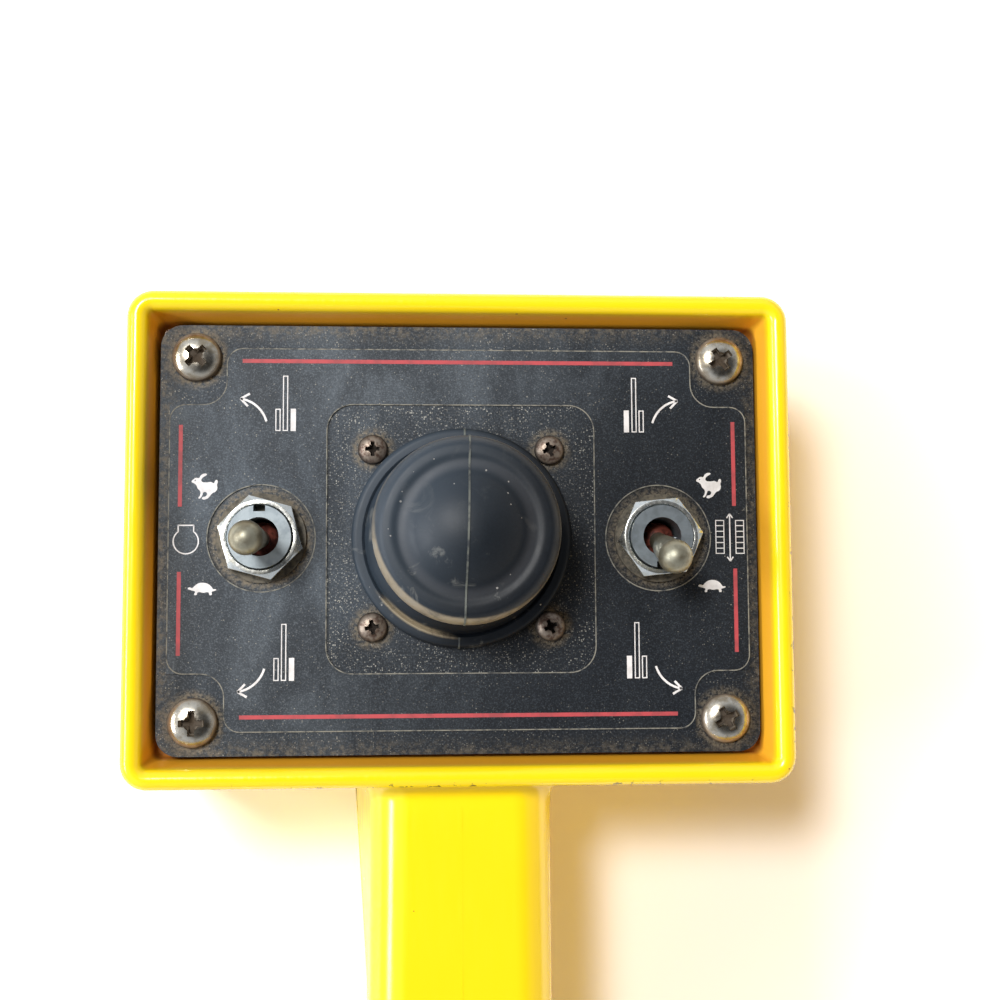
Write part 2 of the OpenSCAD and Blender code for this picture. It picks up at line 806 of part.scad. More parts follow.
module toggle_lever(side_lean) {
    tip_r = lever_tip_d / 2;
    color("darkgray") difference() {
        union() {
            sphere(ball_r);
            translate([0, 0, -lever_leg_l]) cylinder(r = lever_leg_r, h = lever_leg_l);
            rotate([0, -side_lean, 0]) {
                cylinder(r = lever_neck_r, h = lever_neck_top);
                translate([0, 0, lever_neck_top])
                    cylinder(r1 = lever_neck_r, r2 = 0.985 * tip_r, h = lever_reach - lever_neck_top - 0.83 * tip_r);
                translate([0, 0, lever_reach - tip_r]) sphere(tip_r);
            }
        }
        rotate([0, 90, 0]) cylinder(r = pivot_pin_r + running_gap, h = 3 * ball_r, center = true);
        translate([0, 0, -lever_leg_l - cut]) cylinder(r = plunger_r + running_gap, h = plunger_hole_l + cut);
    }
}

module toggle_seal(side_lean) {
    color("#6b3a2c") rotate([0, -side_lean, 0]) difference() {
        sphere(ball_r + seal_t);
        sphere(ball_r);
        translate([0, 0, seal_base - 2 * ball_r]) cube(4 * ball_r, center = true);
        cylinder(r = lever_neck_r, h = 2 * ball_r);
    }
}

module toggle_plunger() {
    color("ivory") translate([0, 0, -plunger_reach]) {
        translate([0, 0, plunger_r]) sphere(plunger_r);
        translate([0, 0, plunger_r]) cylinder(r = plunger_r, h = plunger_head + plunger_r);
    }
}

module toggle_rocker(lean) {
    color("#b87333") translate([0, 0, from_pivot(rocker_pivot_z)]) rotate([lean * rocker_ratio, 0, 0]) {
        rotate([0, 90, 0]) cylinder(r = rocker_hub_r, h = rocker_w, center = true);
        translate([-rocker_w / 2, -rocker_hub_r, 0]) cube([rocker_w, 2 * rocker_hub_r, rocker_above_hub + cut]);
        translate([-rocker_w / 2, -rocker_l / 2, rocker_above_hub]) cube([rocker_w, rocker_l, rocker_t]);
    }
}

module toggle_terminals() {
    floor_z = from_pivot(case_floor_z);
    pivot_z = from_pivot(rocker_pivot_z);
    contact_top = pivot_z + rocker_above_hub - contact_gap;
    color("silver") {
        for (k = [-1 : 1]) translate([-blade_w / 2, k * terminal_pitch - blade_t / 2, floor_z - case_floor - blade_l])
            cube([blade_w, blade_t, case_floor + blade_l + slice_t]);
        for (k = [-1, 1]) translate([-blade_w / 2, k * terminal_pitch - contact_l / 2, floor_z])
            cube([blade_w, contact_l, contact_top - floor_z]);
        difference() {
            translate([-blade_w / 2, -stand_l / 2, floor_z]) cube([blade_w, stand_l, pivot_z - floor_z]);
            translate([0, 0, pivot_z]) rotate([0, 90, 0])
                cylinder(r = rocker_hub_r + 2 * running_gap, h = rocker_w + 2 * cut, center = true);
        }
    }
}

module left_toggle_bushing() { toggle_at(-1) toggle_bushing(1); }
module left_toggle_case() { toggle_at(-1) toggle_case(); }
module left_toggle_nut() { toggle_at(-1) toggle_nut(left_nut_turn); }
module left_toggle_tab_washer() { toggle_at(-1) toggle_tab_washer(1); }
module left_toggle_back_fixings() { toggle_at(-1) toggle_back_fixings(); }
module left_toggle_pivot_pin() { toggle_at(-1) toggle_pivot_pin(); }
module left_toggle_terminals() { toggle_at(-1) toggle_terminals(); }
module left_toggle_rocker() { toggle_at(-1) toggle_rocker(left_lever_lean); }
module left_toggle_lever() { toggle_at(-1) rotate([left_lever_lean, 0, 0]) toggle_lever(left_lever_side_lean); }
module left_toggle_seal() { toggle_at(-1) rotate([left_lever_lean, 0, 0]) toggle_seal(left_lever_side_lean); }
module left_toggle_plunger() { toggle_at(-1) rotate([left_lever_lean, 0, 0]) toggle_plunger(); }

module right_toggle_bushing() { toggle_at(1) toggle_bushing(-1); }
module right_toggle_case() { toggle_at(1) toggle_case(); }
module right_toggle_nut() { toggle_at(1) toggle_nut(right_nut_turn); }
module right_toggle_tab_washer() { toggle_at(1) toggle_tab_washer(-1); }
module right_toggle_back_fixings() { toggle_at(1) toggle_back_fixings(); }
module right_toggle_pivot_pin() { toggle_at(1) toggle_pivot_pin(); }
module right_toggle_terminals() { toggle_at(1) toggle_terminals(); }
module right_toggle_rocker() { toggle_at(1) toggle_rocker(right_lever_lean); }
module right_toggle_lever() { toggle_at(1) rotate([right_lever_lean, 0, 0]) toggle_lever(0); }
module right_toggle_seal() { toggle_at(1) rotate([right_lever_lean, 0, 0]) toggle_seal(0); }
module right_toggle_plunger() { toggle_at(1) rotate([right_lever_lean, 0, 0]) toggle_plunger(); }

// Joystick

module joystick_frame() {
    color("#2b2b2b") difference() {
        translate([0, 0, frame_bottom]) rounded_plate(frame_side, frame_side, frame_corner_r, frame_h);
        translate([0, 0, frame_bottom + board_pocket_h - cut]) cylinder(r = frame_well_r, h = frame_h + 2 * cut);
        translate([0, 0, panel_under - lip_t - fit_gap / 2]) cylinder(r = lip_r + fit_gap, h = lip_t + cut);
        translate([0, 0, frame_bottom - cut])
            rounded_plate(board_pocket, board_pocket, board_pocket_r, board_pocket_h + cut);
        translate([0, 0, stick_pivot_z]) rotate([0, 90, 0])
            cylinder(r = gimbal_pin_r + running_gap, h = frame_side + 2 * cut, center = true);
        at_places(stick_places, panel_under - stick_screw_l)
            cylinder(d = stick_screw_d + 2 * thread_gap, h = stick_screw_l + cut);
        for (x = [-1, 1], y = [-1, 1]) translate([x * cover_small_place, y * cover_small_place, frame_bottom - cut])
            cylinder(d = cover_small_screw_d + 2 * thread_gap, h = cover_small_screw_l + cut);
    }
}

module joystick_bottom_cover() {
    color("#3c3c3c") translate([0, 0, frame_bottom - stick_cover_t]) difference() {
        rounded_plate(frame_side, frame_side, frame_corner_r, stick_cover_t);
        translate([0, 0, -cut])
            linear_extrude(stick_cover_t + 2 * cut) square([socket_w + 2 * fit_gap, socket_l + 2 * fit_gap], center = true);
        for (x = [-1, 1], y = [-1, 1]) translate([x * cover_small_place, y * cover_small_place, -cut])
            cylinder(d = cover_small_screw_d + 2 * fit_gap, h = stick_cover_t + 2 * cut);
    }
}

module joystick_cover_screws() {
    color("silver") for (x = [-1, 1], y = [-1, 1])
        translate([x * cover_small_place, y * cover_small_place, frame_bottom - stick_cover_t]) mirror([0, 0, 1])
            pan_screw(cover_small_head_d, cover_small_head_h, cover_small_screw_d, cover_small_screw_l, 45);
}

module joystick_screws() {
    color("#6a5546") for (k = [0 : 3]) translate([stick_places[k][0], stick_places[k][1], panel_top])
        pan_screw(stick_screw_head_d, stick_screw_head_h, stick_screw_d, stick_screw_l, [30, 20, 40, 25][k]);
}

module gimbal_ring() {
    color("darkgray") translate([0, 0, stick_pivot_z]) difference() {
        translate([0, 0, -ring_h / 2]) ring(ring_outer_r, ring_inner_r, ring_h);
        rotate([0, 90, 0]) cylinder(r = gimbal_pin_r, h = frame_side, center = true);
        rotate([90, 0, 0]) cylinder(r = stick_pin_r + running_gap, h = frame_side, center = true);
    }
}

module gimbal_pins() {
    color("silver") for (s = [0, 180]) translate([0, 0, stick_pivot_z]) rotate([0, 90, s])
        translate([0, 0, ring_inner_r + fit_gap]) cylinder(r = gimbal_pin_r, h = gimbal_pin_end - ring_inner_r - fit_gap);
}

module stick_shaft() {
    shaft_top = knob_top_h + knob_nut_t + shaft_end + stick_pivot_depth;
    color("silver") translate([0, 0, stick_pivot_z]) difference() {
        union() {
            rotate([90, 0, 0]) cylinder(r = hub_r, h = hub_w, center = true);
            cylinder(r = shaft_r, h = knob_bottom_h + stick_pivot_depth);
            cylinder(r = thread_r, h = shaft_top);
            translate([0, 0, -hub_r - shaft_low_l]) cylinder(r = shaft_low_r, h = shaft_low_l + hub_r);
        }
        rotate([90, 0, 0]) cylinder(r = stick_pin_r, h = hub_w + 2 * cut, center = true);
    }
}

module stick_pin() {
    color("gainsboro") translate([0, 0, stick_pivot_z]) rotate([90, 0, 0])
        cylinder(r = stick_pin_r, h = 2 * ring_outer_r, center = true);
}

module magnet_holder() {
    bottom = -hub_r - shaft_low_l;
    color("#2f2f2f") translate([0, 0, stick_pivot_z + bottom]) difference() {
        translate([0, 0, -magnet_t]) cylinder(r = holder_r, h = holder_l);
        cylinder(r = shaft_low_r, h = holder_l);
        translate([0, 0, -magnet_t - cut]) cylinder(r = magnet_r, h = magnet_t + cut);
    }
}

module sensor_magnet() {
    color("gray") translate([0, 0, stick_pivot_z - hub_r - shaft_low_l - magnet_t])
        cylinder(r = magnet_r, h = magnet_t - slice_t);
}

module side_tilt_spring() {
    color("silver") translate([side_spring_x, 0, stick_pivot_z]) rotate([0, 90, 0])
        coil(spring_coil_r, spring_wire_r, spring_turns, 2.2 * spring_wire_r, spring_leg);
}

module fore_tilt_spring() {
    color("silver") translate([0, fore_spring_y, stick_pivot_z]) rotate([-90, 0, 0])
        coil(spring_coil_r, spring_wire_r, spring_turns, 2.2 * spring_wire_r, spring_leg);
}

board_top = frame_bottom + board_pocket_h - board_gap;

module sensor_board() {
    color("#1e5a32") translate([0, 0, board_top - board_t])
        rounded_plate(board_side, board_side, board_pocket_r, board_t);
    color("#2b2b2b") for (x = [-1, 1], y = [-1, 1])
        translate([x * (board_side / 2 - board_gap), y * (board_side / 2 - board_gap), board_top])
            cylinder(r = board_gap, h = board_gap);
}

module sensor_chip() {
    color("#111111") translate([-chip_side / 2, -chip_side / 2, board_top]) cube([chip_side, chip_side, chip_t]);
}

module joystick_socket() {
    color("ivory") translate([0, 0, board_top - board_t - socket_h]) difference() {
        translate([-socket_w / 2, -socket_l / 2, 0]) cube([socket_w, socket_l, socket_h]);
        translate([-socket_w / 2 + socket_wall, -socket_l / 2 + socket_wall, -cut])
            cube([socket_w - 2 * socket_wall, socket_l - 2 * socket_wall, socket_h - socket_wall + cut]);
    }
}

// Outline of the boot's cap, inset by `inset`, above z = low
module cap_profile(inset, low) {
    crest = crest_r - inset;
    roll = crest_roll_r - inset / 2;
    polygon(concat(
        [[0, low], [boot_split_r - inset, low], [crest - roll / 2, crest_h - roll - inset / 2]],
        [for (a = [-40 : 20 : 80]) [crest - roll + roll * cos(a), crest_h + roll * sin(a) - inset / 2]],
        [[valley_r - inset / 2, valley_h - inset]],
        [for (s = dome_base_shares) [s * (dome_r - inset), boot_rise - dome_r + (dome_r - inset) * sqrt(1 - s * s)]]
    ));
}

module knob_core() {
    color("#222222") translate([0, 0, panel_top]) difference() {
        rotate_extrude() intersection() {
            cap_profile(boot_t + knob_gap, boot_split_h);
            polygon([
                [0, knob_bottom_h], [knob_bottom_r, knob_bottom_h], [crest_r, crest_h - crest_roll_r],
                [crest_r, knob_top_h], [0, knob_top_h]
            ]);
        }
        translate([0, 0, knob_bottom_h - cut]) cylinder(r = thread_r + thread_gap, h = boot_rise);
    }
}

module knob_nut() {
    color("silver") translate([0, 0, panel_top + knob_top_h])
        hex_nut(knob_nut_af, knob_nut_t, thread_r + thread_gap);
}

module boot_base() {
    color("#23272e") translate([0, 0, panel_top]) {
        difference() {
            union() {
                cylinder(d = boot_base_d, h = base_ring_h);
                translate([0, 0, -panel_t - lip_t]) cylinder(r = neck_r, h = panel_t + lip_t + cut);
                translate([0, 0, -panel_t - lip_t]) cylinder(r = lip_r, h = lip_t);
            }
            translate([0, 0, -panel_t - lip_t - cut]) cylinder(r = boot_inner_r, h = panel_t + lip_t + base_ring_h + 2 * cut);
            translate([0, 0, base_ring_h - panel_relief]) ring(groove_r + panel_relief, groove_r, panel_relief + cut);
        }
    }
}

module boot_skirt() {
    color("#23272e") translate([0, 0, panel_top]) rotate_extrude() polygon([
        [boot_inner_r, base_ring_h], [groove_r, base_ring_h],
        [waist_r + boot_t, (base_ring_h + waist_h) / 2], [waist_r, waist_h], [boot_split_r, boot_split_h],
        [boot_split_r - boot_t, boot_split_h], [waist_r - boot_t, waist_h],
        [waist_r, (base_ring_h + waist_h) / 2]
    ]);
}

module boot_cap() {
    color("#23272e") translate([0, 0, panel_top]) rotate_extrude() difference() {
        cap_profile(0, boot_split_h);
        cap_profile(boot_t, boot_split_h - cut);
    }
}

// Cable gland, drawn along +Z from the handle's end face and turned to -Y

module gland_at(y) {
    translate([0, y, gland_z]) rotate([90, 0, 0]) children();
}

module gland_washer() {
    color("#202020") gland_at(handle_end_y) ring(gland_af / 2 + fit_gap, gland_thread_d / 2 + fit_gap, gland_washer_t);
}

module gland_body() {
    color("#303336") difference() {
        union() {
            gland_at(gland_face_y) cylinder(d = gland_af / cos(30), h = gland_hex_t, $fn = 6);
            gland_at(gland_face_y + gland_inner_l + gland_washer_t)
                cylinder(d = gland_thread_d, h = gland_inner_l + gland_washer_t + cut);
            gland_at(gland_hex_end_y + cut) cylinder(r = gland_outer_r, h = gland_outer_l + cut);
        }
        gland_at(gland_face_y + gland_inner_l + gland_washer_t + cut)
            cylinder(r = gland_bore_r, h = gland_inner_l + gland_hex_t + gland_outer_l + 2 * gland_washer_t + 2 * cut);
        gland_at(gland_seal_y) cylinder(r = gland_seal_r, h = gland_seal_l + cut);
    }
}

module gland_seal() {
    color("#151515") gland_at(gland_seal_y) ring(gland_seal_r, cable_bore_d / 2, gland_seal_l);
}

module gland_locknut() {
    color("#303336") gland_at(handle_end_y + wall + locknut_t)
        hex_nut(gland_af, locknut_t, gland_thread_d / 2 + thread_gap);
}

module gland_dome_nut() {
    reach = gland_outer_l + fit_gap;
    color("#303336") gland_at(gland_hex_end_y - fit_gap) difference() {
        union() {
            cylinder(d = gland_af / cos(30), h = dome_l / 2, $fn = 6);
            cylinder(r = dome_r_out, h = dome_l - dome_r_out / 2);
            translate([0, 0, dome_l - dome_r_out / 2])
                cylinder(r1 = dome_r_out, r2 = dome_r_out / 2 + dome_mouth_r / 2, h = dome_r_out / 2);
        }
        translate([0, 0, -cut]) cylinder(r = dome_mouth_r, h = dome_l + 2 * cut);
        translate([0, 0, -cut]) cylinder(r = gland_outer_r + thread_gap, h = reach + cut);
    }
}

// Terminal strip and leads

module strip_screw_places() {
    for (k = [0 : strip_ways - 1]) translate([(k - (strip_ways - 1) / 2) * strip_pitch, 0, strip_h - barrier_h])
        rotate([0, 0, 20 * k]) children();
}

module terminal_strip() {
    color("#d8d2c0") translate([0, strip_y, wall]) {
        difference() {
            translate([-strip_w / 2, -strip_l / 2, 0]) cube([strip_w, strip_l, strip_h - barrier_h]);
            strip_screw_places() translate([0, 0, -strip_screw_l])
                cylinder(d = strip_screw_d + 2 * thread_gap, h = strip_screw_l + cut);
        }
        for (k = [0 : strip_ways]) translate([(k - strip_ways / 2) * strip_pitch - barrier_t / 2, -strip_l / 2, 0])
            cube([barrier_t, strip_l, strip_h]);
    }
}

module strip_screws() {
    color("silver") translate([0, strip_y, wall]) strip_screw_places()
        pan_screw(2 * strip_screw_r, strip_screw_h, strip_screw_d, strip_screw_l, 0);
}

module inner_leads() {
    color("#8a1f1f") for (route = concat(left_lead_routes, right_lead_routes, stick_lead_routes))
        tube(smooth_path(route, lead_steps), lead_r, lead_sides);
}

housing();
back_cover();
cover_gasket();
cover_screws();
panel_inserts();
control_panel();
panel_gasket();
panel_overlay();
panel_screws();
joystick_frame();
joystick_bottom_cover();
joystick_cover_screws();
joystick_screws();
gimbal_ring();
gimbal_pins();
stick_shaft();
stick_pin();
magnet_holder();
sensor_magnet();
side_tilt_spring();
fore_tilt_spring();
sensor_board();
sensor_chip();
joystick_socket();
knob_core();
knob_nut();
boot_base();
boot_skirt();
boot_cap();
left_toggle_bushing();
left_toggle_case();
left_toggle_nut();
left_toggle_tab_washer();
left_toggle_back_fixings();
left_toggle_lever();
left_toggle_seal();
left_toggle_pivot_pin();
left_toggle_plunger();
left_toggle_rocker();
left_toggle_terminals();
right_toggle_bushing();
right_toggle_case();
right_toggle_nut();
right_toggle_tab_washer();
right_toggle_back_fixings();
right_toggle_lever();
right_toggle_seal();
right_toggle_pivot_pin();
right_toggle_plunger();
right_toggle_rocker();
right_toggle_terminals();
gland_body();
gland_washer();
gland_locknut();
gland_seal();
gland_dome_nut();
terminal_strip();
strip_screws();
inner_leads();
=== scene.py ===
import bpy
import bmesh
import json
import math
from mathutils import Matrix, Vector

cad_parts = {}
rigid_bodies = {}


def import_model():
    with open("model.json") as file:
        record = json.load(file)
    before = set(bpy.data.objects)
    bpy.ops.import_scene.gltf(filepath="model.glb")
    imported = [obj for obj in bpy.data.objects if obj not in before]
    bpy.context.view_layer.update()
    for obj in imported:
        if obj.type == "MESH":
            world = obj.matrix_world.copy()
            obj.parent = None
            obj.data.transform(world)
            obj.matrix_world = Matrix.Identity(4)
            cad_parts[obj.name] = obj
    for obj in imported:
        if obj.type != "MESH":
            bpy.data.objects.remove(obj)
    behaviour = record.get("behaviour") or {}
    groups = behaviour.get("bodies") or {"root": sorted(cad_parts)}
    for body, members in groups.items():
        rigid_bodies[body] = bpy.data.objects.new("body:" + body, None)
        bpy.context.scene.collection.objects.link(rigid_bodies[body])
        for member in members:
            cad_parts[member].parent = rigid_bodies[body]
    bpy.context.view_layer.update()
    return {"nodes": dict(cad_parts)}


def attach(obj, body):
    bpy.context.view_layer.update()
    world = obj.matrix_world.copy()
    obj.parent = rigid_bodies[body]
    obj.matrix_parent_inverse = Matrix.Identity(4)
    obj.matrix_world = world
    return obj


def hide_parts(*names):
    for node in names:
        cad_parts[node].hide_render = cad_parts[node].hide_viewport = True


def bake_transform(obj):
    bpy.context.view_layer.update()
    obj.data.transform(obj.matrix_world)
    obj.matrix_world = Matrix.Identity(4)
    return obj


# Pendant control station, dressed for the render. Metres; the station lies on its back.

for leftover in list(bpy.data.objects):
    bpy.data.objects.remove(leftover, do_unlink=True)

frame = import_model()
cadNodes = frame["nodes"]
mm = 0.001
fullTurn = 2 * math.pi
print("frame loaded:", len(cadNodes), "CAD nodes")


# camera, light and floor

cameraLook = {
    "lens": 54,
    "sensor": 36,
    "place": (-12.55, -18.76, 338.54),
    "right": (0.99759, -0.00541, 0.06914),
    "up": (-0.00088, 0.99588, 0.09064),
    "back": (-0.06935, -0.09048, 0.99348),
}


def makeCamera(look):
    data = bpy.data.cameras.new("camera")
    data.lens = look["lens"]
    data.sensor_width = look["sensor"]
    data.clip_start = 0.01
    camera = bpy.data.objects.new("camera", data)
    bpy.context.scene.collection.objects.link(camera)
    turn = Matrix((look["right"], look["up"], look["back"])).transposed().to_4x4()
    camera.matrix_world = Matrix.Translation(Vector(look["place"]) * mm) @ turn
    bpy.context.scene.camera = camera


def srgb(code):
    values = [int(code[k:k + 2], 16) / 255 for k in (1, 3, 5)]
    linear = [v / 12.92 if v <= 0.04045 else ((v + 0.055) / 1.055) ** 2.4 for v in values]
    return (*linear, 1)


def addNode(tree, kind, settings=None, inputs=()):
    # a shader node with its settings; inputs are named or stand in the node's own order, and each
    # is a value or the output it is linked from
    node = tree.nodes.new("ShaderNode" + kind)
    for name, value in (settings or {}).items():
        setattr(node, name, value)
    for name, value in (inputs.items() if isinstance(inputs, dict) else enumerate(inputs)):
        if isinstance(value, bpy.types.NodeSocket):
            tree.links.new(value, node.inputs[name])
        else:
            node.inputs[name].default_value = value
    return node


def nodeRow(tree, kind, settings, last, *others):
    # the same node over and over, each with the last one's output and the next value
    for value in others:
        last = addNode(tree, kind, settings, (last, value)).outputs[0]
    return last


# settings that many nodes share
smooth = {"interpolation_type": "SMOOTHSTEP"}
colourMix = {"data_type": "RGBA"}
times = {"operation": "MULTIPLY"}
minus = {"operation": "SUBTRACT"}
larger = {"operation": "MAXIMUM"}
absolute = {"operation": "ABSOLUTE"}
below = {"operation": "LESS_THAN"}
above = {"operation": "GREATER_THAN"}
apart = {"operation": "DISTANCE"}
dot = {"operation": "DOT_PRODUCT"}


def makeLight(name, place, target, size, watts, colour, mirrored=True):
    data = bpy.data.lights.new(name, "AREA")
    data.shape = "RECTANGLE"
    data.size, data.size_y = size
    data.energy = watts
    data.color = srgb(colour)[:3]
    light = bpy.data.objects.new(name, data)
    bpy.context.scene.collection.objects.link(light)
    light.location = place
    aim = Vector(target) - Vector(place)
    light.rotation_euler = aim.to_track_quat("-Z", "Y").to_euler()
    light.visible_glossy = mirrored


roomLook = {
    "fillColour": "#FFDFB4",
    "mirrorColour": "#E4ECF6",
    "fillStrength": 0.42,
    # the room is brighter on the window's side and darkest overhead, where the photographer leans in
    "windowSide": (-0.88, 0.42, 0.22),
    "wallLevels": (0.62, 1.0),
    "overheadWay": (0.24, -0.1, 0.966),
    "overheadSpread": (0.74, 0.95),
    "overheadLevels": (1.0, 0.08),
    "lamps": {
        "ceilingLamp": {"place": (-0.75, 0.62, 2.15), "target": (0, -0.04, 0.02), "size": (0.5, 0.5),
                        "watts": 42, "colour": "#FFFDFA"},
        "windowLight": {"place": (-1.3, -0.1, 0.85), "target": (0, -0.03, 0.04), "size": (0.9, 0.3),
                        "watts": 15, "colour": "#FAFCFF"},
        "wallBounceLight": {"place": (1.3, -0.35, 0.4), "target": (0, -0.02, 0.04), "size": (1.0, 0.4),
                            "watts": 7, "colour": "#FFDCA8", "mirrored": False},
    },
    "floor": "#F8F8FA",
    "floorRoughness": 0.6,
    # to the camera the floor is lifted: a little round this centre, in a tan that paints the shadow's tint,
    # and white farther out
    "floorCentre": (0, -0.03, 0),
    "floorFade": (0.075, 0.19),
    "floorLift": 0.15,
    "floorShadowTan": "#FFC88C",
    "floorHalf": 2.5,
}


def makeRoom(look):
    world = bpy.data.worlds.new("room")
    bpy.context.scene.world = world
    world.use_nodes = True
    tree = world.node_tree
    rays = addNode(tree, "LightPath").outputs
    toCamera = rays["Is Camera Ray"]
    seen = nodeRow(tree, "Math", larger, toCamera, rays["Is Glossy Ray"], rays["Is Transmission Ray"])
    way = addNode(tree, "TexCoord").outputs["Generated"]
    wall = addNode(tree, "VectorMath", dot, (way, look["windowSide"])).outputs["Value"]
    wall = addNode(tree, "MapRange", smooth, (wall, -1, 1, *look["wallLevels"])).outputs[0]
    overhead = addNode(tree, "VectorMath", dot, (way, look["overheadWay"])).outputs["Value"]
    overhead = addNode(tree, "MapRange", smooth,
                       (overhead, *look["overheadSpread"], *look["overheadLevels"])).outputs[0]
    level = nodeRow(tree, "Math", larger, nodeRow(tree, "Math", times, wall, overhead), toCamera)
    strength = addNode(tree, "MapRange", smooth, (seen, 0, 1, look["fillStrength"], 1.0)).outputs[0]
    strength = nodeRow(tree, "Math", times, strength, level)
    colour = addNode(tree, "Mix", colourMix, {0: seen, 6: srgb(look["fillColour"]),
                                              7: srgb(look["mirrorColour"])}).outputs[2]
    colour = addNode(tree, "Mix", colourMix, {0: toCamera, 6: colour, 7: srgb("#FFFFFF")}).outputs[2]
    background = tree.nodes["Background"]
    tree.links.new(colour, background.inputs["Color"])
    tree.links.new(strength, background.inputs["Strength"])
    for name, lamp in look["lamps"].items():
        makeLight(name, **lamp)

    # painted tabletop: matt, pale; it shows white to the camera but keeps the shadow, tinted tan there by a
    # painted glow
    table = bpy.data.materials.new("mattPaintedTable")
    table.use_nodes = True
    tree = table.node_tree
    shader = tree.nodes["Principled BSDF"]
    shader.inputs["Base Color"].default_value = srgb(look["floor"])
    shader.inputs["Roughness"].default_value = look["floorRoughness"]
    rays = addNode(tree, "LightPath").outputs
    seen = nodeRow(tree, "Math", larger, rays["Is Camera Ray"], rays["Is Glossy Ray"],
                   rays["Is Transmission Ray"])
    point = addNode(tree, "TexCoord").outputs["Object"]
    reach = addNode(tree, "VectorMath", apart, (point, look["floorCentre"])).outputs["Value"]
    away = addNode(tree, "MapRange", smooth, (reach, *look["floorFade"])).outputs[0]
    lift = addNode(tree, "MapRange", None, (away, 0, 1, look["floorLift"], 1.0)).outputs[0]
    tree.links.new(nodeRow(tree, "Math", times, seen, lift), shader.inputs["Emission Strength"])
    # painted shadow tint: the lift is tan near the station, white farther out
    shade = addNode(tree, "Mix", colourMix, {0: away, 6: srgb(look["floorShadowTan"]), 7: srgb("#FFFFFF")})
    tree.links.new(shade.outputs[2], shader.inputs["Emission Color"])
    bm = bmesh.new()
    bmesh.ops.create_grid(bm, x_segments=1, y_segments=1, size=look["floorHalf"])
    mesh = bpy.data.meshes.new("tabletop")
    bm.to_mesh(mesh)
    bm.free()
    floor = bpy.data.objects.new("tabletop", mesh)
    bpy.context.scene.collection.objects.link(floor)
    floor.data.materials.append(table)


makeCamera(cameraLook)
makeRoom(roomLook)
bpy.context.scene.view_settings.view_transform = "Standard"
print("camera and room made")


# shapes that several pieces use


def looseObject(name, bm):
    mesh = bpy.data.meshes.new(name)
    bm.to_mesh(mesh)
    bm.free()
    made = bpy.data.objects.new(name, mesh)
    bpy.context.scene.collection.objects.link(made)
    return made


def settle(piece):
    # the modifiers' result becomes the piece's own mesh
    bpy.context.view_layer.update()
    result = bpy.data.meshes.new_from_object(piece.evaluated_get(bpy.context.evaluated_depsgraph_get()))
    piece.modifiers.clear()
    piece.data = result


def combine(piece, other, operation):
    cut = piece.modifiers.new("combine", "BOOLEAN")
    cut.operation = operation
    cut.solver = "MANIFOLD"
    cut.object = other
    settle(piece)
    bpy.data.objects.remove(other, do_unlink=True)


def dress(piece, material, body, nodes=(), sharp=35, weighted=True):
    mesh = piece.data
    mesh.materials.clear()
    mesh.materials.append(material)
    for face in mesh.polygons:
        face.use_smooth = True
        face.material_index = 0
    mesh.set_sharp_from_angle(angle=math.radians(sharp))
    if weighted:
        normals = piece.modifiers.new("faceNormals", "WEIGHTED_NORMAL")
        normals.keep_sharp = True
    if body:
        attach(piece, body)
    if nodes:
        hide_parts(*nodes)


def turnPiece(bm, verts, degrees, axis):
    turn = Matrix.Rotation(math.radians(degrees), 3, axis)
    bmesh.ops.rotate(bm, verts=verts, cent=(0, 0, 0), matrix=turn)


def cornerRing(bm, corners, radius, steps):
    # a closed outline through four corners, each rounded; corners run (-,-), (+,-), (-,+), (+,+)
    known = set(bm.edges)
    made = bmesh.ops.create_grid(bm, x_segments=1, y_segments=1, size=1)
    for vert, corner in zip(made["verts"], corners):
        vert.co = corner
    bmesh.ops.bevel(bm, geom=made["verts"], offset=radius, offset_type="OFFSET", affect="VERTICES",
                    segments=steps, profile=0.5, material=-1)
    fresh = [face for face in bm.faces if not any(edge in known for edge in face.edges)
             and len(face.verts) == 4 * (steps + 1) and len(face.edges[0].link_faces) == 1]
    bmesh.ops.delete(bm, geom=fresh, context="FACES_ONLY")
    return [edge for edge in bm.edges if edge not in known]


def plateRing(bm, halfX, halfY, radius, z, steps):
    corners = [(-halfX, -halfY, z), (halfX, -halfY, z), (-halfX, halfY, z), (halfX, halfY, z)]
    return cornerRing(bm, corners, radius, steps)


def loft(bm, rings, along=(0, 0, 1)):
    # rings are pulled apart while they are bridged, so that level ones pair up squarely
    stacks = [list({vert for edge in ring for vert in edge.verts}) for ring in rings]
    for k, stack in enumerate(stacks):
        bmesh.ops.translate(bm, verts=stack, vec=Vector(along) * k)
    for low, high in zip(rings, rings[1:]):
        bmesh.ops.bridge_loops(bm, edges=low + high)
    for k, stack in enumerate(stacks):
        bmesh.ops.translate(bm, verts=stack, vec=Vector(along) * -k)
    bmesh.ops.contextual_create(bm, geom=rings[0])
    bmesh.ops.contextual_create(bm, geom=rings[-1])
    bmesh.ops.recalc_face_normals(bm, faces=bm.faces)


def spinProfile(bm, profile, steps, closed=False, place=(0, 0, 0)):
    # profile is (radius, height) in metres round the Z axis
    verts = [bm.verts.new((radius, 0, height)) for radius, height in profile]
    edges = [bm.edges.new(pair) for pair in zip(verts, verts[1:])]
    if closed:
        edges.append(bm.edges.new((verts[-1], verts[0])))
    known = set(bm.verts) - set(verts)
    bmesh.ops.spin(bm, geom=verts + edges, cent=(0, 0, 0), axis=(0, 0, 1), angle=fullTurn, steps=steps,
                   use_merge=True)
    fresh = [vert for vert in bm.verts if vert not in known]
    bmesh.ops.remove_doubles(bm, verts=fresh, dist=1e-6)
    fresh = [vert for vert in bm.verts if vert not in known]
    bmesh.ops.translate(bm, verts=fresh, vec=place)
    bmesh.ops.recalc_face_normals(bm, faces=bm.faces)
    return fresh


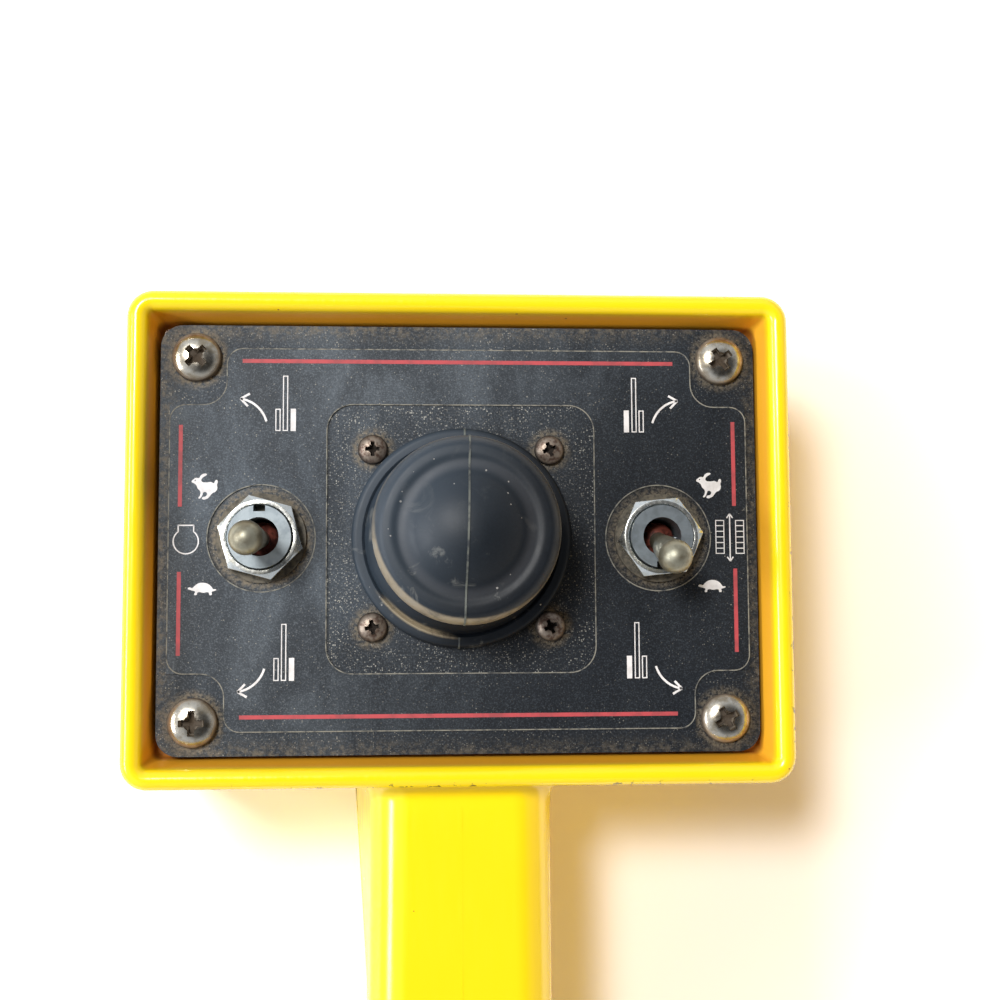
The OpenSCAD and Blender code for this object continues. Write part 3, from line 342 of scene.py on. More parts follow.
def roundBar(name, radius, low, high, steps=48, place=(0, 0, 0), turn=None):
    bm = bmesh.new()
    spinProfile(bm, [(0, low), (radius, low), (radius, high), (0, high)], steps)
    if turn:
        bmesh.ops.rotate(bm, verts=bm.verts, cent=(0, 0, 0), matrix=turn)
    bmesh.ops.translate(bm, verts=bm.verts, vec=place)
    return looseObject(name, bm)


def softenEdges(bm, width, segments=2, angle=35):
    sharp = [edge for edge in bm.edges if len(edge.link_faces) == 2
             and edge.calc_face_angle(0) > math.radians(angle)]
    bmesh.ops.bevel(bm, geom=sharp, offset=width, offset_type="OFFSET", affect="EDGES", segments=segments,
                    profile=0.5, material=-1, clamp_overlap=True)


def arc(centreR, centreH, radius, start, end, steps):
    # points of an arc in a spun profile; angles in degrees from the outward direction
    angles = [math.radians(start + (end - start) * k / steps) for k in range(steps + 1)]
    return [(centreR + radius * math.cos(angle), centreH + radius * math.sin(angle)) for angle in angles]


# finishes


def newMaterial(name, roughness, metallic=0.0, ior=None):
    material = bpy.data.materials.new(name)
    material.use_nodes = True
    tree = material.node_tree
    shader = tree.nodes["Principled BSDF"]
    shader.inputs["Roughness"].default_value = roughness
    shader.inputs["Metallic"].default_value = metallic
    if ior:
        shader.inputs["IOR"].default_value = ior
    point = addNode(tree, "TexCoord").outputs["Object"]
    return material, tree, shader, point


def speckMask(tree, point, cell, size, share, seed):
    # sharp-edged specks: one in a share of the cells, each about size of a cell wide
    place = (seed, seed * 0.7, seed * 0.3)
    moved = addNode(tree, "Mapping", None, {"Vector": point, "Location": place}).outputs[0]
    cells = addNode(tree, "TexVoronoi", {"feature": "F1"}, {"Vector": moved, "Scale": 1 / cell}).outputs
    pick = addNode(tree, "SeparateColor", None, (cells["Color"],)).outputs
    reach = addNode(tree, "MapRange", None, (pick[1], 0, 1, size * 0.35, size * 1.2)).outputs[0]
    near = addNode(tree, "Math", below, (cells["Distance"], reach)).outputs[0]
    chosen = addNode(tree, "Math", below, (pick[0], share)).outputs[0]
    return nodeRow(tree, "Math", times, near, chosen)


def simpleFinish(name, colour, other, patch, roughness, metallic=0.0, ior=None, grain=0.3 * mm,
                 bump=0.01 * mm, stretch=(1, 1, 1), dirt=None):
    # base colour drifting to a second one in patches, fine grain in roughness and height;
    # dirt is (clean height, dark height, colour, amount): darker low down and in a recess, for dirt settled
    # there and for painted shade in the recess
    material, tree, shader, point = newMaterial(name, roughness, metallic, ior)
    drift = addNode(tree, "TexNoise", None, {"Vector": point, "Scale": 1 / patch, "Detail": 3.0,
                                             "Roughness": 0.6}).outputs[0]
    drift = addNode(tree, "MapRange", smooth, (drift, 0.4, 0.68)).outputs[0]
    base = addNode(tree, "Mix", colourMix, {0: drift, 6: srgb(colour), 7: srgb(other)}).outputs[2]
    stretched = addNode(tree, "Mapping", None, {"Vector": point, "Scale": stretch}).outputs[0]
    fine = addNode(tree, "TexNoise", None, {"Vector": stretched, "Scale": 1 / grain,
                                            "Detail": 2.0}).outputs[0]
    least = max(roughness - 0.08, 0.05)
    rough = addNode(tree, "MapRange", None, (fine, 0, 1, least, roughness + 0.1)).outputs[0]
    if dirt:
        clean, darkHeight, lowDirtAndShadeColour, amount = dirt
        # dirt and painted shade: darker towards the low height
        height = addNode(tree, "SeparateXYZ", None, (point,)).outputs[2]
        low = addNode(tree, "MapRange", smooth, (height, clean, darkHeight, 0, amount)).outputs[0]
        base = addNode(tree, "Mix", colourMix, {0: low, 6: base, 7: srgb(lowDirtAndShadeColour)}).outputs[2]
        metal = addNode(tree, "MapRange", None, (low, 0, 1, metallic, 0)).outputs[0]
        tree.links.new(metal, shader.inputs["Metallic"])
        rough = nodeRow(tree, "Math", larger, rough, low)
    tree.links.new(base, shader.inputs["Base Color"])
    tree.links.new(rough, shader.inputs["Roughness"])
    relief = addNode(tree, "Bump", None, {"Height": fine, "Strength": 0.6, "Distance": bump})
    tree.links.new(relief.outputs[0], shader.inputs["Normal"])
    return material


stationSize = {
    "halfX": 63 * mm,
    "halfY": 46.6 * mm,
    "cornerR": 5 * mm,
    "partingZ": 10 * mm,
    "partingEdge": 0.22 * mm,
    "coverTop": 9.2 * mm,
    "coverEdgeR": 2.4 * mm,
    "rimR": 1.95 * mm,
    "rimSpringZ": 56.05 * mm,
    "slope": 1.6 * mm,
    "wellR": 1.3 * mm,
    "ledgeZ": 48.5 * mm,
    "ledgeT": 3 * mm,
    "ledgeW": 4 * mm,
    "wall": 3.2 * mm,
    "insideR": 2 * mm,
    "panelTop": 52 * mm,
    # posts for the panel's and the cover's screws
    "postR": 5.2 * mm,
    "insertR": 3.2 * mm,
    "screwBoreR": 2.2 * mm,
    "sinkR": 4.3 * mm,
    "sinkZ": 4 * mm,
    "screwX": 50.45 * mm,
    "screwY": 34.6 * mm,
    "handleScrewX": 8.8 * mm,
    "handleScrewY": -146.6 * mm,
    "glandR": 8.05 * mm,
    "glandY": -161.6 * mm,
    "glandZ": 25 * mm,
    "stickScrew": 16.95 * mm,
    "toggleX": 38 * mm,
}

yellowLook = {
    "colours": ("#FDE61A", "#FBDF16"),
    "drift": 28 * mm,
    # the well: how far in it starts, how low it goes, and its colours (colour, start, end, amount) from the
    # rim down to the ledge: orange painted shade on the walls, then a darker brown at the ledge for dust and
    # the shade in the corner
    "wellInset": 3.4 * mm,
    "wellLow": 47 * mm,
    "wellShadeAndDirt": (("#F8B236", 57.2 * mm, 54.5 * mm, 0.9), ("#A05C28", 51.5 * mm, 49 * mm, 0.85)),
    # chips: colour, size, distances from the outside, heights, and more of them to the lower right
    "chip": "#5B4A2E",
    "chipSize": 2.4 * mm,
    "chipEdge": (1.1 * mm, 0.2 * mm),
    "chipHeights": (52 * mm, 55 * mm),
    "chipCorner": (-0.06, 0.11, 0.7, 0.57),
    "speck": "#B98A2A",
    "speckCell": 5 * mm,
    "scratch": 0.5 * mm,
    "skinWave": 6 * mm,
    "skinHeight": 0.06 * mm,
}


def yellowPlastic():
    # ABS, injection moulded in a polished tool: glossy, evenly coloured, fine scratches where hands rub it
    size, look = stationSize, yellowLook
    material, tree, shader, point = newMaterial("glossyMouldedAbs", 0.18, 0.0, 1.56)
    x, y, z = addNode(tree, "SeparateXYZ", None, (point,)).outputs
    drift = addNode(tree, "TexNoise", None, {"Vector": point, "Scale": 1 / look["drift"],
                                             "Detail": 2.0}).outputs[0]
    first, second = look["colours"]
    base = addNode(tree, "Mix", colourMix, {0: drift, 6: srgb(first), 7: srgb(second)}).outputs[2]

    # the well's walls get painted shade, more orange deeper down; at the ledge a darker brown stands for dust
    # and for the shade in the corner
    sides = [(addNode(tree, "Math", absolute, (part,)).outputs[0], half)
             for part, half in ((x, size["halfX"]), (y, size["halfY"]))]
    well = [addNode(tree, "Math", below, (side, half - look["wellInset"])).outputs[0] for side, half in sides]
    well.append(addNode(tree, "Math", above, (z, look["wellLow"])).outputs[0])
    for colour, start, end, amount in look["wellShadeAndDirt"]:
        deep = addNode(tree, "MapRange", smooth, (z, start, end, 0, amount)).outputs[0]
        mask = nodeRow(tree, "Math", times, *well, deep)
        base = addNode(tree, "Mix", colourMix, {0: mask, 6: base, 7: srgb(colour)}).outputs[2]

    # rubbed-off marks along the rim's outer edge, most at the lower right corner
    start, end = look["chipEdge"]
    edges = [addNode(tree, "MapRange", None, (side, half - start, half - end)).outputs[0]
             for side, half in sides]
    edge = nodeRow(tree, "Math", larger, *edges)
    top = addNode(tree, "MapRange", None, (z, *look["chipHeights"])).outputs[0]
    boxOnly = addNode(tree, "Math", above, (y, -size["halfY"] - 0.3 * mm)).outputs[0]
    corner = addNode(tree, "Math", minus, (x, y)).outputs[0]
    least = addNode(tree, "MapRange", None, (corner, *look["chipCorner"])).outputs[0]
    chips = addNode(tree, "TexNoise", None, {"Vector": point, "Scale": 1 / look["chipSize"], "Detail": 4.0,
                                             "Roughness": 0.65}).outputs[0]
    chipped = addNode(tree, "Math", above, (chips, least)).outputs[0]
    chipped = nodeRow(tree, "Math", times, edge, top, boxOnly, chipped)
    specks = speckMask(tree, point, look["speckCell"], 0.055, 0.3, 0.31)
    for mask, colour in ((chipped, look["chip"]), (specks, look["speck"])):
        base = addNode(tree, "Mix", colourMix, {0: mask, 6: base, 7: srgb(colour)}).outputs[2]
    tree.links.new(base, shader.inputs["Base Color"])

    # faint hand scratches: long thin noise, only in the gloss
    turned = addNode(tree, "Mapping", None, {"Vector": point, "Rotation": (0.2, 0.4, 0.7),
                                             "Scale": (1, 0.06, 0.3)})
    hair = addNode(tree, "TexNoise", None, {"Vector": turned.outputs[0], "Scale": 1 / look["scratch"],
                                            "Detail": 2.0}).outputs[0]
    rough = addNode(tree, "MapRange", None, (hair, 0.35, 0.75, 0.14, 0.27)).outputs[0]
    tree.links.new(rough, shader.inputs["Roughness"])
    skin = addNode(tree, "TexNoise", None, {"Vector": point, "Scale": 1 / look["skinWave"],
                                            "Detail": 2.0}).outputs[0]
    relief = addNode(tree, "Bump", None, {"Height": skin, "Strength": 0.35, "Distance": look["skinHeight"]})
    tree.links.new(relief.outputs[0], shader.inputs["Normal"])
    return material


dustLook = {
    # film and dust fade towards the lower right, away from the window side
    "windowWay": (-0.86, 0.5, 0),
    "windowRamp": (-34 * mm, 40 * mm, 0.06, 1.0),
    # what the faint and the full side keep of each
    "sideLevels": {"sparkle": (0.3, 1), "specks": (0.4, 1), "square": (0.45, 0.85), "margin": (0.3, 0.7),
                   "packed": (0.45, 0.8)},
    "film": "#84919F",
    "filmSize": 13 * mm,
    "sparkle": "#9AA4AE",
    "speck": "#B4B3AB",
    "clusterSize": 3.5 * mm,
    # cell, width in the cell, share of the dust, seed
    "specks": ((0.36 * mm, 0.3, 1.0, 0.11), (0.8 * mm, 0.15, 0.6, 0.37)),
    # the sunk square round the joystick
    "square": "#C0C2BE",
    "squareCell": 0.4 * mm,
    "squareRing": (16 * mm, 25 * mm, 0.25, 1),
    "squareHalf": 26.5 * mm,
    # the plate's margin under the rim
    "margin": "#7C7567",
    "marginX": (53.5 * mm, 57 * mm),
    "marginY": (37 * mm, 41 * mm),
    "crumbSize": 1.1 * mm,
    # dirt packed round screws and nuts
    "packed": "#857B69",
    "packedReach": (2.0 * mm, 0.2 * mm),
    "packedSize": 0.8 * mm,
}


def dustyBlack(name, colour, other, roughness, grain, grainHeight, dust, haze, hollows=(), squareDust=0):
    # dark sheet with dry dust in it: dust is the share of cells with a speck, haze the smeared film,
    # hollows the round things (place, radius) that dirt packs round
    look = dustLook
    material, tree, shader, point = newMaterial(name, roughness, 0.0, 1.48)
    shader.inputs["Specular IOR Level"].default_value = 0.2
    fine = addNode(tree, "TexNoise", None, {"Vector": point, "Scale": 1 / grain, "Detail": 3.0,
                                            "Roughness": 0.75}).outputs[0]
    mask = addNode(tree, "MapRange", smooth, (fine, 0.35, 0.65)).outputs[0]
    base = addNode(tree, "Mix", colourMix, {0: mask, 6: srgb(colour), 7: srgb(other)}).outputs[2]
    side = addNode(tree, "VectorMath", dot, (point, look["windowWay"])).outputs["Value"]
    side = addNode(tree, "MapRange", smooth, (side, *look["windowRamp"])).outputs[0]
    sides = {dirt: addNode(tree, "MapRange", None, (side, 0, 1, *levels)).outputs[0]
             for dirt, levels in look["sideLevels"].items()}
    # smeared film, wiped in long soft strokes
    wiped = addNode(tree, "Mapping", None, {"Vector": point, "Rotation": (0, 0, 0.5), "Scale": (1, 0.45, 1)})
    film = addNode(tree, "TexNoise", None, {"Vector": wiped.outputs[0], "Scale": 1 / look["filmSize"],
                                            "Detail": 5.0, "Roughness": 0.62, "Distortion": 0.6}).outputs[0]
    smeared = addNode(tree, "MapRange", smooth, (film, 0.36, 0.72, haze * 0.4, haze * 1.25)).outputs[0]
    uneven = addNode(tree, "MapRange", None, (fine, 0.3, 0.7, 0.7, 1.3)).outputs[0]
    smeared = nodeRow(tree, "Math", times, smeared, side, uneven)
    base = addNode(tree, "Mix", colourMix, {0: smeared, 6: base, 7: srgb(look["film"])}).outputs[2]
    sparkle = addNode(tree, "MapRange", smooth, (fine, 0.52, 0.66, 0, 0.2)).outputs[0]
    sparkle = nodeRow(tree, "Math", times, sparkle, sides["sparkle"])
    base = addNode(tree, "Mix", colourMix, {0: sparkle, 6: base, 7: srgb(look["sparkle"])}).outputs[2]
    # specks in two sizes, thicker where the film is
    cluster = addNode(tree, "TexNoise", None, {"Vector": point, "Scale": 1 / look["clusterSize"],
                                               "Detail": 3.0}).outputs[0]
    filmy = addNode(tree, "MapRange", None, (film, 0.35, 0.7, 0.35, 0.85)).outputs[0]
    clustered = addNode(tree, "MapRange", smooth, (cluster, 0.38, 0.62, 0.25, 1.1)).outputs[0]
    for cell, size, share, seed in look["specks"]:
        specks = speckMask(tree, point, cell, size, dust * share, seed)
        specks = nodeRow(tree, "Math", times, specks, filmy, sides["specks"], clustered)
        base = addNode(tree, "Mix", colourMix, {0: specks, 6: base, 7: srgb(look["speck"])}).outputs[2]
    flat = addNode(tree, "VectorMath", absolute, (point,)).outputs[0]
    if squareDust:
        # the sunk square holds more dust near its edges
        part = addNode(tree, "SeparateXYZ", None, (flat,)).outputs
        farthest = nodeRow(tree, "Math", larger, part[0], part[1])
        ring = addNode(tree, "MapRange", smooth, (farthest, *look["squareRing"])).outputs[0]
        inside = addNode(tree, "Math", below, (farthest, look["squareHalf"])).outputs[0]
        clustered = addNode(tree, "MapRange", smooth, (cluster, 0.36, 0.6, 0.2, 1)).outputs[0]
        more = speckMask(tree, point, look["squareCell"], 0.31, squareDust, 0.59)
        more = nodeRow(tree, "Math", times, more, ring, inside, clustered, sides["square"])
        base = addNode(tree, "Mix", colourMix, {0: more, 6: base, 7: srgb(look["square"])}).outputs[2]
        # dirt is never wiped from the margin
        edges = [addNode(tree, "MapRange", smooth, (part[k], *look[key])).outputs[0]
                 for k, key in enumerate(("marginX", "marginY"))]
        crumbs = addNode(tree, "TexNoise", None, {"Vector": point, "Scale": 1 / look["crumbSize"],
                                                  "Detail": 5.0, "Roughness": 0.75}).outputs[0]
        crumbs = addNode(tree, "MapRange", smooth, (crumbs, 0.42, 0.66)).outputs[0]
        margin = nodeRow(tree, "Math", times, nodeRow(tree, "Math", larger, *edges), crumbs, sides["margin"])
        base = addNode(tree, "Mix", colourMix, {0: margin, 6: base, 7: srgb(look["margin"])}).outputs[2]
    if hollows:
        flat = addNode(tree, "VectorMath", times, (flat, (1, 1, 0))).outputs[0]
        nearest = 1.0
        for place, radius in hollows:
            away = addNode(tree, "VectorMath", apart, (flat, place)).outputs["Value"]
            off = addNode(tree, "Math", minus, (away, radius)).outputs[0]
            nearest = addNode(tree, "Math", {"operation": "MINIMUM"}, (nearest, off)).outputs[0]
        nearest = addNode(tree, "MapRange", smooth, (nearest, *look["packedReach"])).outputs[0]
        broken = addNode(tree, "TexNoise", None, {"Vector": point, "Scale": 1 / look["packedSize"],
                                                  "Detail": 4.0, "Roughness": 0.7}).outputs[0]
        broken = addNode(tree, "MapRange", smooth, (broken, 0.36, 0.62)).outputs[0]
        packed = nodeRow(tree, "Math", times, nearest, broken, sides["packed"])
        base = addNode(tree, "Mix", colourMix, {0: packed, 6: base, 7: srgb(look["packed"])}).outputs[2]
    tree.links.new(base, shader.inputs["Base Color"])
    rough = addNode(tree, "MapRange", None, (film, 0.3, 0.75, roughness - 0.05, roughness + 0.2)).outputs[0]
    tree.links.new(rough, shader.inputs["Roughness"])
    relief = addNode(tree, "Bump", None, {"Height": fine, "Strength": 0.8, "Distance": grainHeight})
    tree.links.new(relief.outputs[0], shader.inputs["Normal"])
    return material


rubberLook = {
    "colours": ("#090C11", "#111820"),
    "grain": 0.45 * mm,
    "grainHeight": 0.02 * mm,
    "patch": 6 * mm,
    # painted sheen: a paler blue grey on the window side, where the light falls
    "windowSheen": "#6E8297",
    "windowWay": (-0.9, 0.43, 0),
    "windowRamp": (-10 * mm, 18 * mm, 0, 0.19),
    # dust and smears lie towards the lower left
    "dustWay": (-0.5, -0.866, 0),
    "crest": "#989080",
    "crestUp": 14 * mm,
    "crestReach": (2 * mm, 17 * mm, 16.3 * mm, 15.3 * mm),
    "crestWidth": 0.5 * mm,
    "ring": "#8C909A",
    "ringR": 11.4 * mm,
    "ringWidth": (1.5 * mm, 0.1 * mm, 0, 0.07),
    "smear": "#868A8A",
    "streak": "#9C917B",
    "streakUp": 3.2 * mm,
    "streakR": 18.7 * mm,
    "streakWidth": (0.8 * mm, 0.3 * mm),
    "speck": "#9A9C9E",
    "speckCell": 1.9 * mm,
}


def bootRubber():
    # moulded neoprene: dull dark blue-grey, dust rubbed into the raised edges, finger smears on top, a
    # painted sheen on the window side
    size, look = stationSize, rubberLook
    material, tree, shader, point = newMaterial("mouldedNeoprene", 0.46, 0.0, 1.5)
    shader.inputs["Specular IOR Level"].default_value = 0.3
    x, y, z = addNode(tree, "SeparateXYZ", None, (point,)).outputs
    fine = addNode(tree, "TexNoise", None, {"Vector": point, "Scale": 1 / look["grain"],
                                            "Detail": 3.0}).outputs[0]
    first, second = look["colours"]
    base = addNode(tree, "Mix", colourMix, {0: fine, 6: srgb(first), 7: srgb(second)}).outputs[2]
    flat = addNode(tree, "CombineXYZ", None, (x, y)).outputs[0]
    reach = addNode(tree, "VectorMath", {"operation": "LENGTH"}, (flat,)).outputs["Value"]
    patches = addNode(tree, "TexNoise", None, {"Vector": point, "Scale": 1 / look["patch"], "Detail": 5.0,
                                               "Roughness": 0.65, "Distortion": 0.8}).outputs[0]
    lowerLeft = addNode(tree, "VectorMath", dot, (flat, look["dustWay"])).outputs["Value"]
    upper = addNode(tree, "Math", above, (z, size["panelTop"] + look["crestUp"])).outputs[0]
    # the painted sheen towards the window side, where the light falls
    windowSheen = addNode(tree, "VectorMath", dot, (flat, look["windowWay"])).outputs["Value"]
    windowSheen = addNode(tree, "MapRange", smooth, (windowSheen, *look["windowRamp"])).outputs[0]
    # tan dust on the crest, most towards the lower left and round the bottom
    width = addNode(tree, "MapRange", smooth, (lowerLeft, *look["crestReach"])).outputs[0]
    beyond = addNode(tree, "Math", minus, (reach, width)).outputs[0]
    crest = nodeRow(tree, "Math", times, upper, *(
        addNode(tree, "MapRange", smooth, spread).outputs[0]
        for spread in ((beyond, 0, look["crestWidth"]), (lowerLeft, -8 * mm, 16 * mm, 0.22, 0.85),
                       (patches, 0.3, 0.6, 0.4, 1.0))))
    # pale ring of dust in the hollow round the dome
    offRing = addNode(tree, "Math", minus, (reach, look["ringR"])).outputs[0]
    offRing = addNode(tree, "Math", absolute, (offRing,)).outputs[0]
    ring = addNode(tree, "MapRange", smooth, (offRing, *look["ringWidth"])).outputs[0]
    ring = nodeRow(tree, "Math", times, ring, upper)
    # smears where fingers rubbed, lower left
    smear = nodeRow(tree, "Math", times, *(
        addNode(tree, "MapRange", smooth, spread).outputs[0]
        for spread in ((patches, 0.56, 0.72), (lowerLeft, -2 * mm, 10 * mm, 0.06, 0.5))))
    # a tan streak along the base ring's collar, lower left
    low = addNode(tree, "Math", below, (z, size["panelTop"] + look["streakUp"])).outputs[0]
    offCollar = addNode(tree, "Math", minus, (reach, look["streakR"])).outputs[0]
    offCollar = addNode(tree, "Math", absolute, (offCollar,)).outputs[0]
    streak = nodeRow(tree, "Math", times, low, *(
        addNode(tree, "MapRange", smooth, spread).outputs[0]
        for spread in ((offCollar, *look["streakWidth"]), (lowerLeft, 16.5 * mm, 18.2 * mm),
                       (patches, 0.36, 0.5, 0.2, 0.85))))
    specks = speckMask(tree, point, look["speckCell"], 0.09, 0.35, 0.43)
    specks = nodeRow(tree, "Math", times, specks, 0.8)
    for mask, dirt in ((windowSheen, "windowSheen"), (crest, "crest"), (ring, "ring"), (smear, "smear"),
                       (streak, "streak"), (specks, "speck")):
        base = addNode(tree, "Mix", colourMix, {0: mask, 6: base, 7: srgb(look[dirt])}).outputs[2]
    tree.links.new(base, shader.inputs["Base Color"])
    rough = addNode(tree, "MapRange", None, (patches, 0, 1, 0.36, 0.6)).outputs[0]
    tree.links.new(rough, shader.inputs["Roughness"])
    relief = addNode(tree, "Bump", None, {"Height": fine, "Strength": 0.5, "Distance": look["grainHeight"]})
    tree.links.new(relief.outputs[0], shader.inputs["Normal"])
    return material


# what dirt packs round on the panel: the toggles, the corner screws and the joystick's screws
packedPlaces = (((stationSize["toggleX"], 0, 0), 8.5 * mm),
                ((stationSize["screwX"], stationSize["screwY"], 0), 4.65 * mm),
                ((stationSize["stickScrew"], stationSize["stickScrew"], 0), 2.85 * mm))

finishes = {
    "yellowPlastic": yellowPlastic(),
    # steel sheet, powder coated black: fine orange peel under dry dust
    "powderCoat": dustyBlack("blackPowderCoat", "#0E1116", "#1A2028", 0.5, 0.4 * mm, 0.03 * mm, 0.4, 0.25,
                             packedPlaces, 0.6),
    # polyester film, back-printed, fine matt texture: blacker than the plate and wiped cleaner
    "overlayFilm": dustyBlack("texturedPolyesterFilm", "#0A0D12", "#141B24", 0.46, 0.3 * mm, 0.03 * mm,
                              0.14, 0.34),
    # dry dust packed in a seam: pale grey, quite matt
    "dustSeam": simpleFinish("packedDust", "#8A8A83", "#44474A", 1.3 * mm, 0.9, grain=0.2 * mm,
                             bump=0.05 * mm),
    # screen ink: flat colour, a little worn
    "whiteInk": simpleFinish("whiteScreenInk", "#E8EAF0", "#D4D5DA", 2.4 * mm, 0.55),
    "redInk": simpleFinish("redScreenInk", "#B8454E", "#9A3F46", 3 * mm, 0.55),
    "bootRubber": bootRubber(),
    # the boot's mould line: the same rubber with dust caught along it
    "seamRubber": simpleFinish("dustyNeopreneFlash", "#5C625F", "#2A2F35", 2.2 * mm, 0.6, 0.0, 1.5),
    # stainless steel, cold headed: bright with a warm tint and dull handling marks
    "stainless": simpleFinish("coldHeadedStainless", "#C4BDB0", "#A39A8B", 1.4 * mm, 0.28, 1.0,
                              grain=0.2 * mm),
    # the same screws on the panel: grey dirt packed at the foot of the head and in the recess, and the recess
    # darker still with painted shade
    "panelStainless": simpleFinish("dirtyShadedStainlessScrew", "#C6BEB0", "#A0937E", 2.2 * mm, 0.2, 1.0,
                                   grain=0.5 * mm, bump=0.004 * mm,
                                   dirt=(54.2 * mm, 52.9 * mm, "#3D3126", 0.9)),
    # plain steel gone rusty: brown oxide with some grey steel left; low down near black, grime at the foot of
    # the head and painted shade in the cross recess
    "rustySteel": simpleFinish("rustedSteel", "#8C8074", "#57443A", 0.9 * mm, 0.42, 0.75, grain=0.2 * mm,
                               bump=0.05 * mm, dirt=(53.7 * mm, 53.0 * mm, "#1E1813", 0.95)),
    # zinc plate on steel: bright, bluish white, scratched by the spanner
    "brightZinc": simpleFinish("brightZincPlate", "#DFE0DC", "#CFCDC2", 1.8 * mm, 0.24, 1.0, grain=0.6 * mm,
                               bump=0.003 * mm),
    # die-cast zinc with a passivated skin: matt blue grey, the right one darker
    "castZinc": simpleFinish("passivatedDieCastZinc", "#8C969C", "#788289", 2.2 * mm, 0.42, 0.5,
                             grain=0.5 * mm, bump=0.004 * mm),
    "darkZinc": simpleFinish("blackenedDieCastZinc", "#78828A", "#687178", 2.2 * mm, 0.42, 0.5,
                             grain=0.5 * mm, bump=0.004 * mm),
    # zinc washer, tarnished brown-green under the nut
    "tarnishedZinc": simpleFinish("tarnishedZincWasher", "#5C564A", "#37342D", 1.0 * mm, 0.55, 0.35,
                                  grain=0.2 * mm),
    # nickel plate worn dull by fingers: olive grey, soft highlight
    "dullNickel": simpleFinish("wornNickelPlate", "#929080", "#7C7664", 2.6 * mm, 0.44, 0.8, grain=0.5 * mm,
                               bump=0.006 * mm),
    # silicone rubber, moulded red-brown, darker in patches
    "redSilicone": simpleFinish("mouldedSilicone", "#743B2F", "#3F1C15", 1.2 * mm, 0.5, 0.0, 1.43,
                                bump=0.03 * mm),
    # nitrile rubber, die cut: black, matt; nylons, moulded: satin
    "blackRubber": simpleFinish("blackNitrileRubber", "#1B1C1E", "#242527", 4 * mm, 0.6, 0.0, 1.52),
    "blackNylon": simpleFinish("blackGlassNylon", "#1E2023", "#282A2E", 3 * mm, 0.5, 0.0, 1.53),
    "glandNylon": simpleFinish("greyBlackNylon", "#2B2E31", "#35383B", 5 * mm, 0.44, 0.0, 1.53),
    "ivoryNylon": simpleFinish("ivoryNylon", "#E4DDC6", "#D3CAB0", 4 * mm, 0.45, 0.0, 1.53),
    # brass and steel, turned on a lathe: fine rings round the axis
    "brass": simpleFinish("turnedBrass", "#D8B067", "#B98F4A", 2 * mm, 0.3, 1.0, stretch=(1, 1, 6)),
    "turnedSteel": simpleFinish("turnedSteel", "#B9BBBD", "#9C9EA0", 2 * mm, 0.3, 1.0, stretch=(1, 1, 6)),
    # neodymium, nickel plated: bright and smooth
    "magnet": simpleFinish("nickelledMagnet", "#C2C1BC", "#A5A49F", 1.5 * mm, 0.25, 1.0),
    # glass board under green solder mask: glossy lacquer
    "boardLacquer": simpleFinish("greenSolderMask", "#1E5A38", "#17482C", 2 * mm, 0.35, 0.0, 1.5),
    # phenolic, pressed: dark brown, a little mottled
    "phenolic": simpleFinish("pressedPhenolic", "#3A2A22", "#2C1F19", 1.2 * mm, 0.4, 0.0, 1.6),
    # copper, stamped, and brass, silver plated: the switches' contacts
    "copper": simpleFinish("stampedCopper", "#C98A62", "#A66B48", 1.6 * mm, 0.3, 1.0),
    "silverPlate": simpleFinish("silverPlatedBrass", "#D3D0C8", "#B5B1A6", 1.6 * mm, 0.28, 1.0),
    # soft PVC insulation, extruded: red, satin
    "redLead": simpleFinish("redPvcLead", "#A82A24", "#8C211D", 6 * mm, 0.45, 0.0, 1.52),
}
print("finishes made:", len(finishes))


# housing: box walls, rim, well and the front of the handle

handleLook = {
    "frontZ": 50 * mm,
    "edgeR": 7 * mm,
    "rootY": -46.6 * mm,
    # distance from the wall, half width in front, half width at the back
    "stations": ((0, 16.7 * mm, 22.3 * mm), (45 * mm, 17.3 * mm, 18.9 * mm),
                 (111.5 * mm, 17.6 * mm, 18.5 * mm)),
    "rings": (45 * mm, 96 * mm),
    "length": 115 * mm,
    "endR": 3.5 * mm,
    "filletSide": 2.6 * mm,
    "filletTop": 1.2 * mm,
    "filletLength": 3.8 * mm,
    "filletShares": (0.0, 0.06, 0.16, 0.3, 0.5, 0.74, 1.0),
    "inWall": 1.6 * mm,
    "hollowInWall": 3.8 * mm,
    "cornerSteps": 10,
    # the mould line: half width, half length, bottom, top, middle
    "mouldLine": (0.12 * mm, 55 * mm, 49.8 * mm, 50.05 * mm, -106 * mm),
}


def handleWidths(distance):
    stations = handleLook["stations"]
    for near, far in zip(stations, stations[1:]):
        if distance <= far[0]:
            break
    share = min(max((distance - near[0]) / (far[0] - near[0]), 0), 1)
    return [near[k] + (far[k] - near[k]) * share for k in (1, 2)]


def handleRing(bm, distance, inset, grow=0.0, back=0.0):
    look = handleLook
    front, rear = handleWidths(distance)
    y = look["rootY"] - distance
    side = grow * look["filletSide"] - inset
    top = look["frontZ"] + grow * look["filletTop"] - inset
    low = back + inset
    corners = [(-rear - side, y, low), (rear + side, y, low), (-front - side, y, top), (front + side, y, top)]
    return cornerRing(bm, corners, look["edgeR"] - inset * 0.9, look["cornerSteps"])


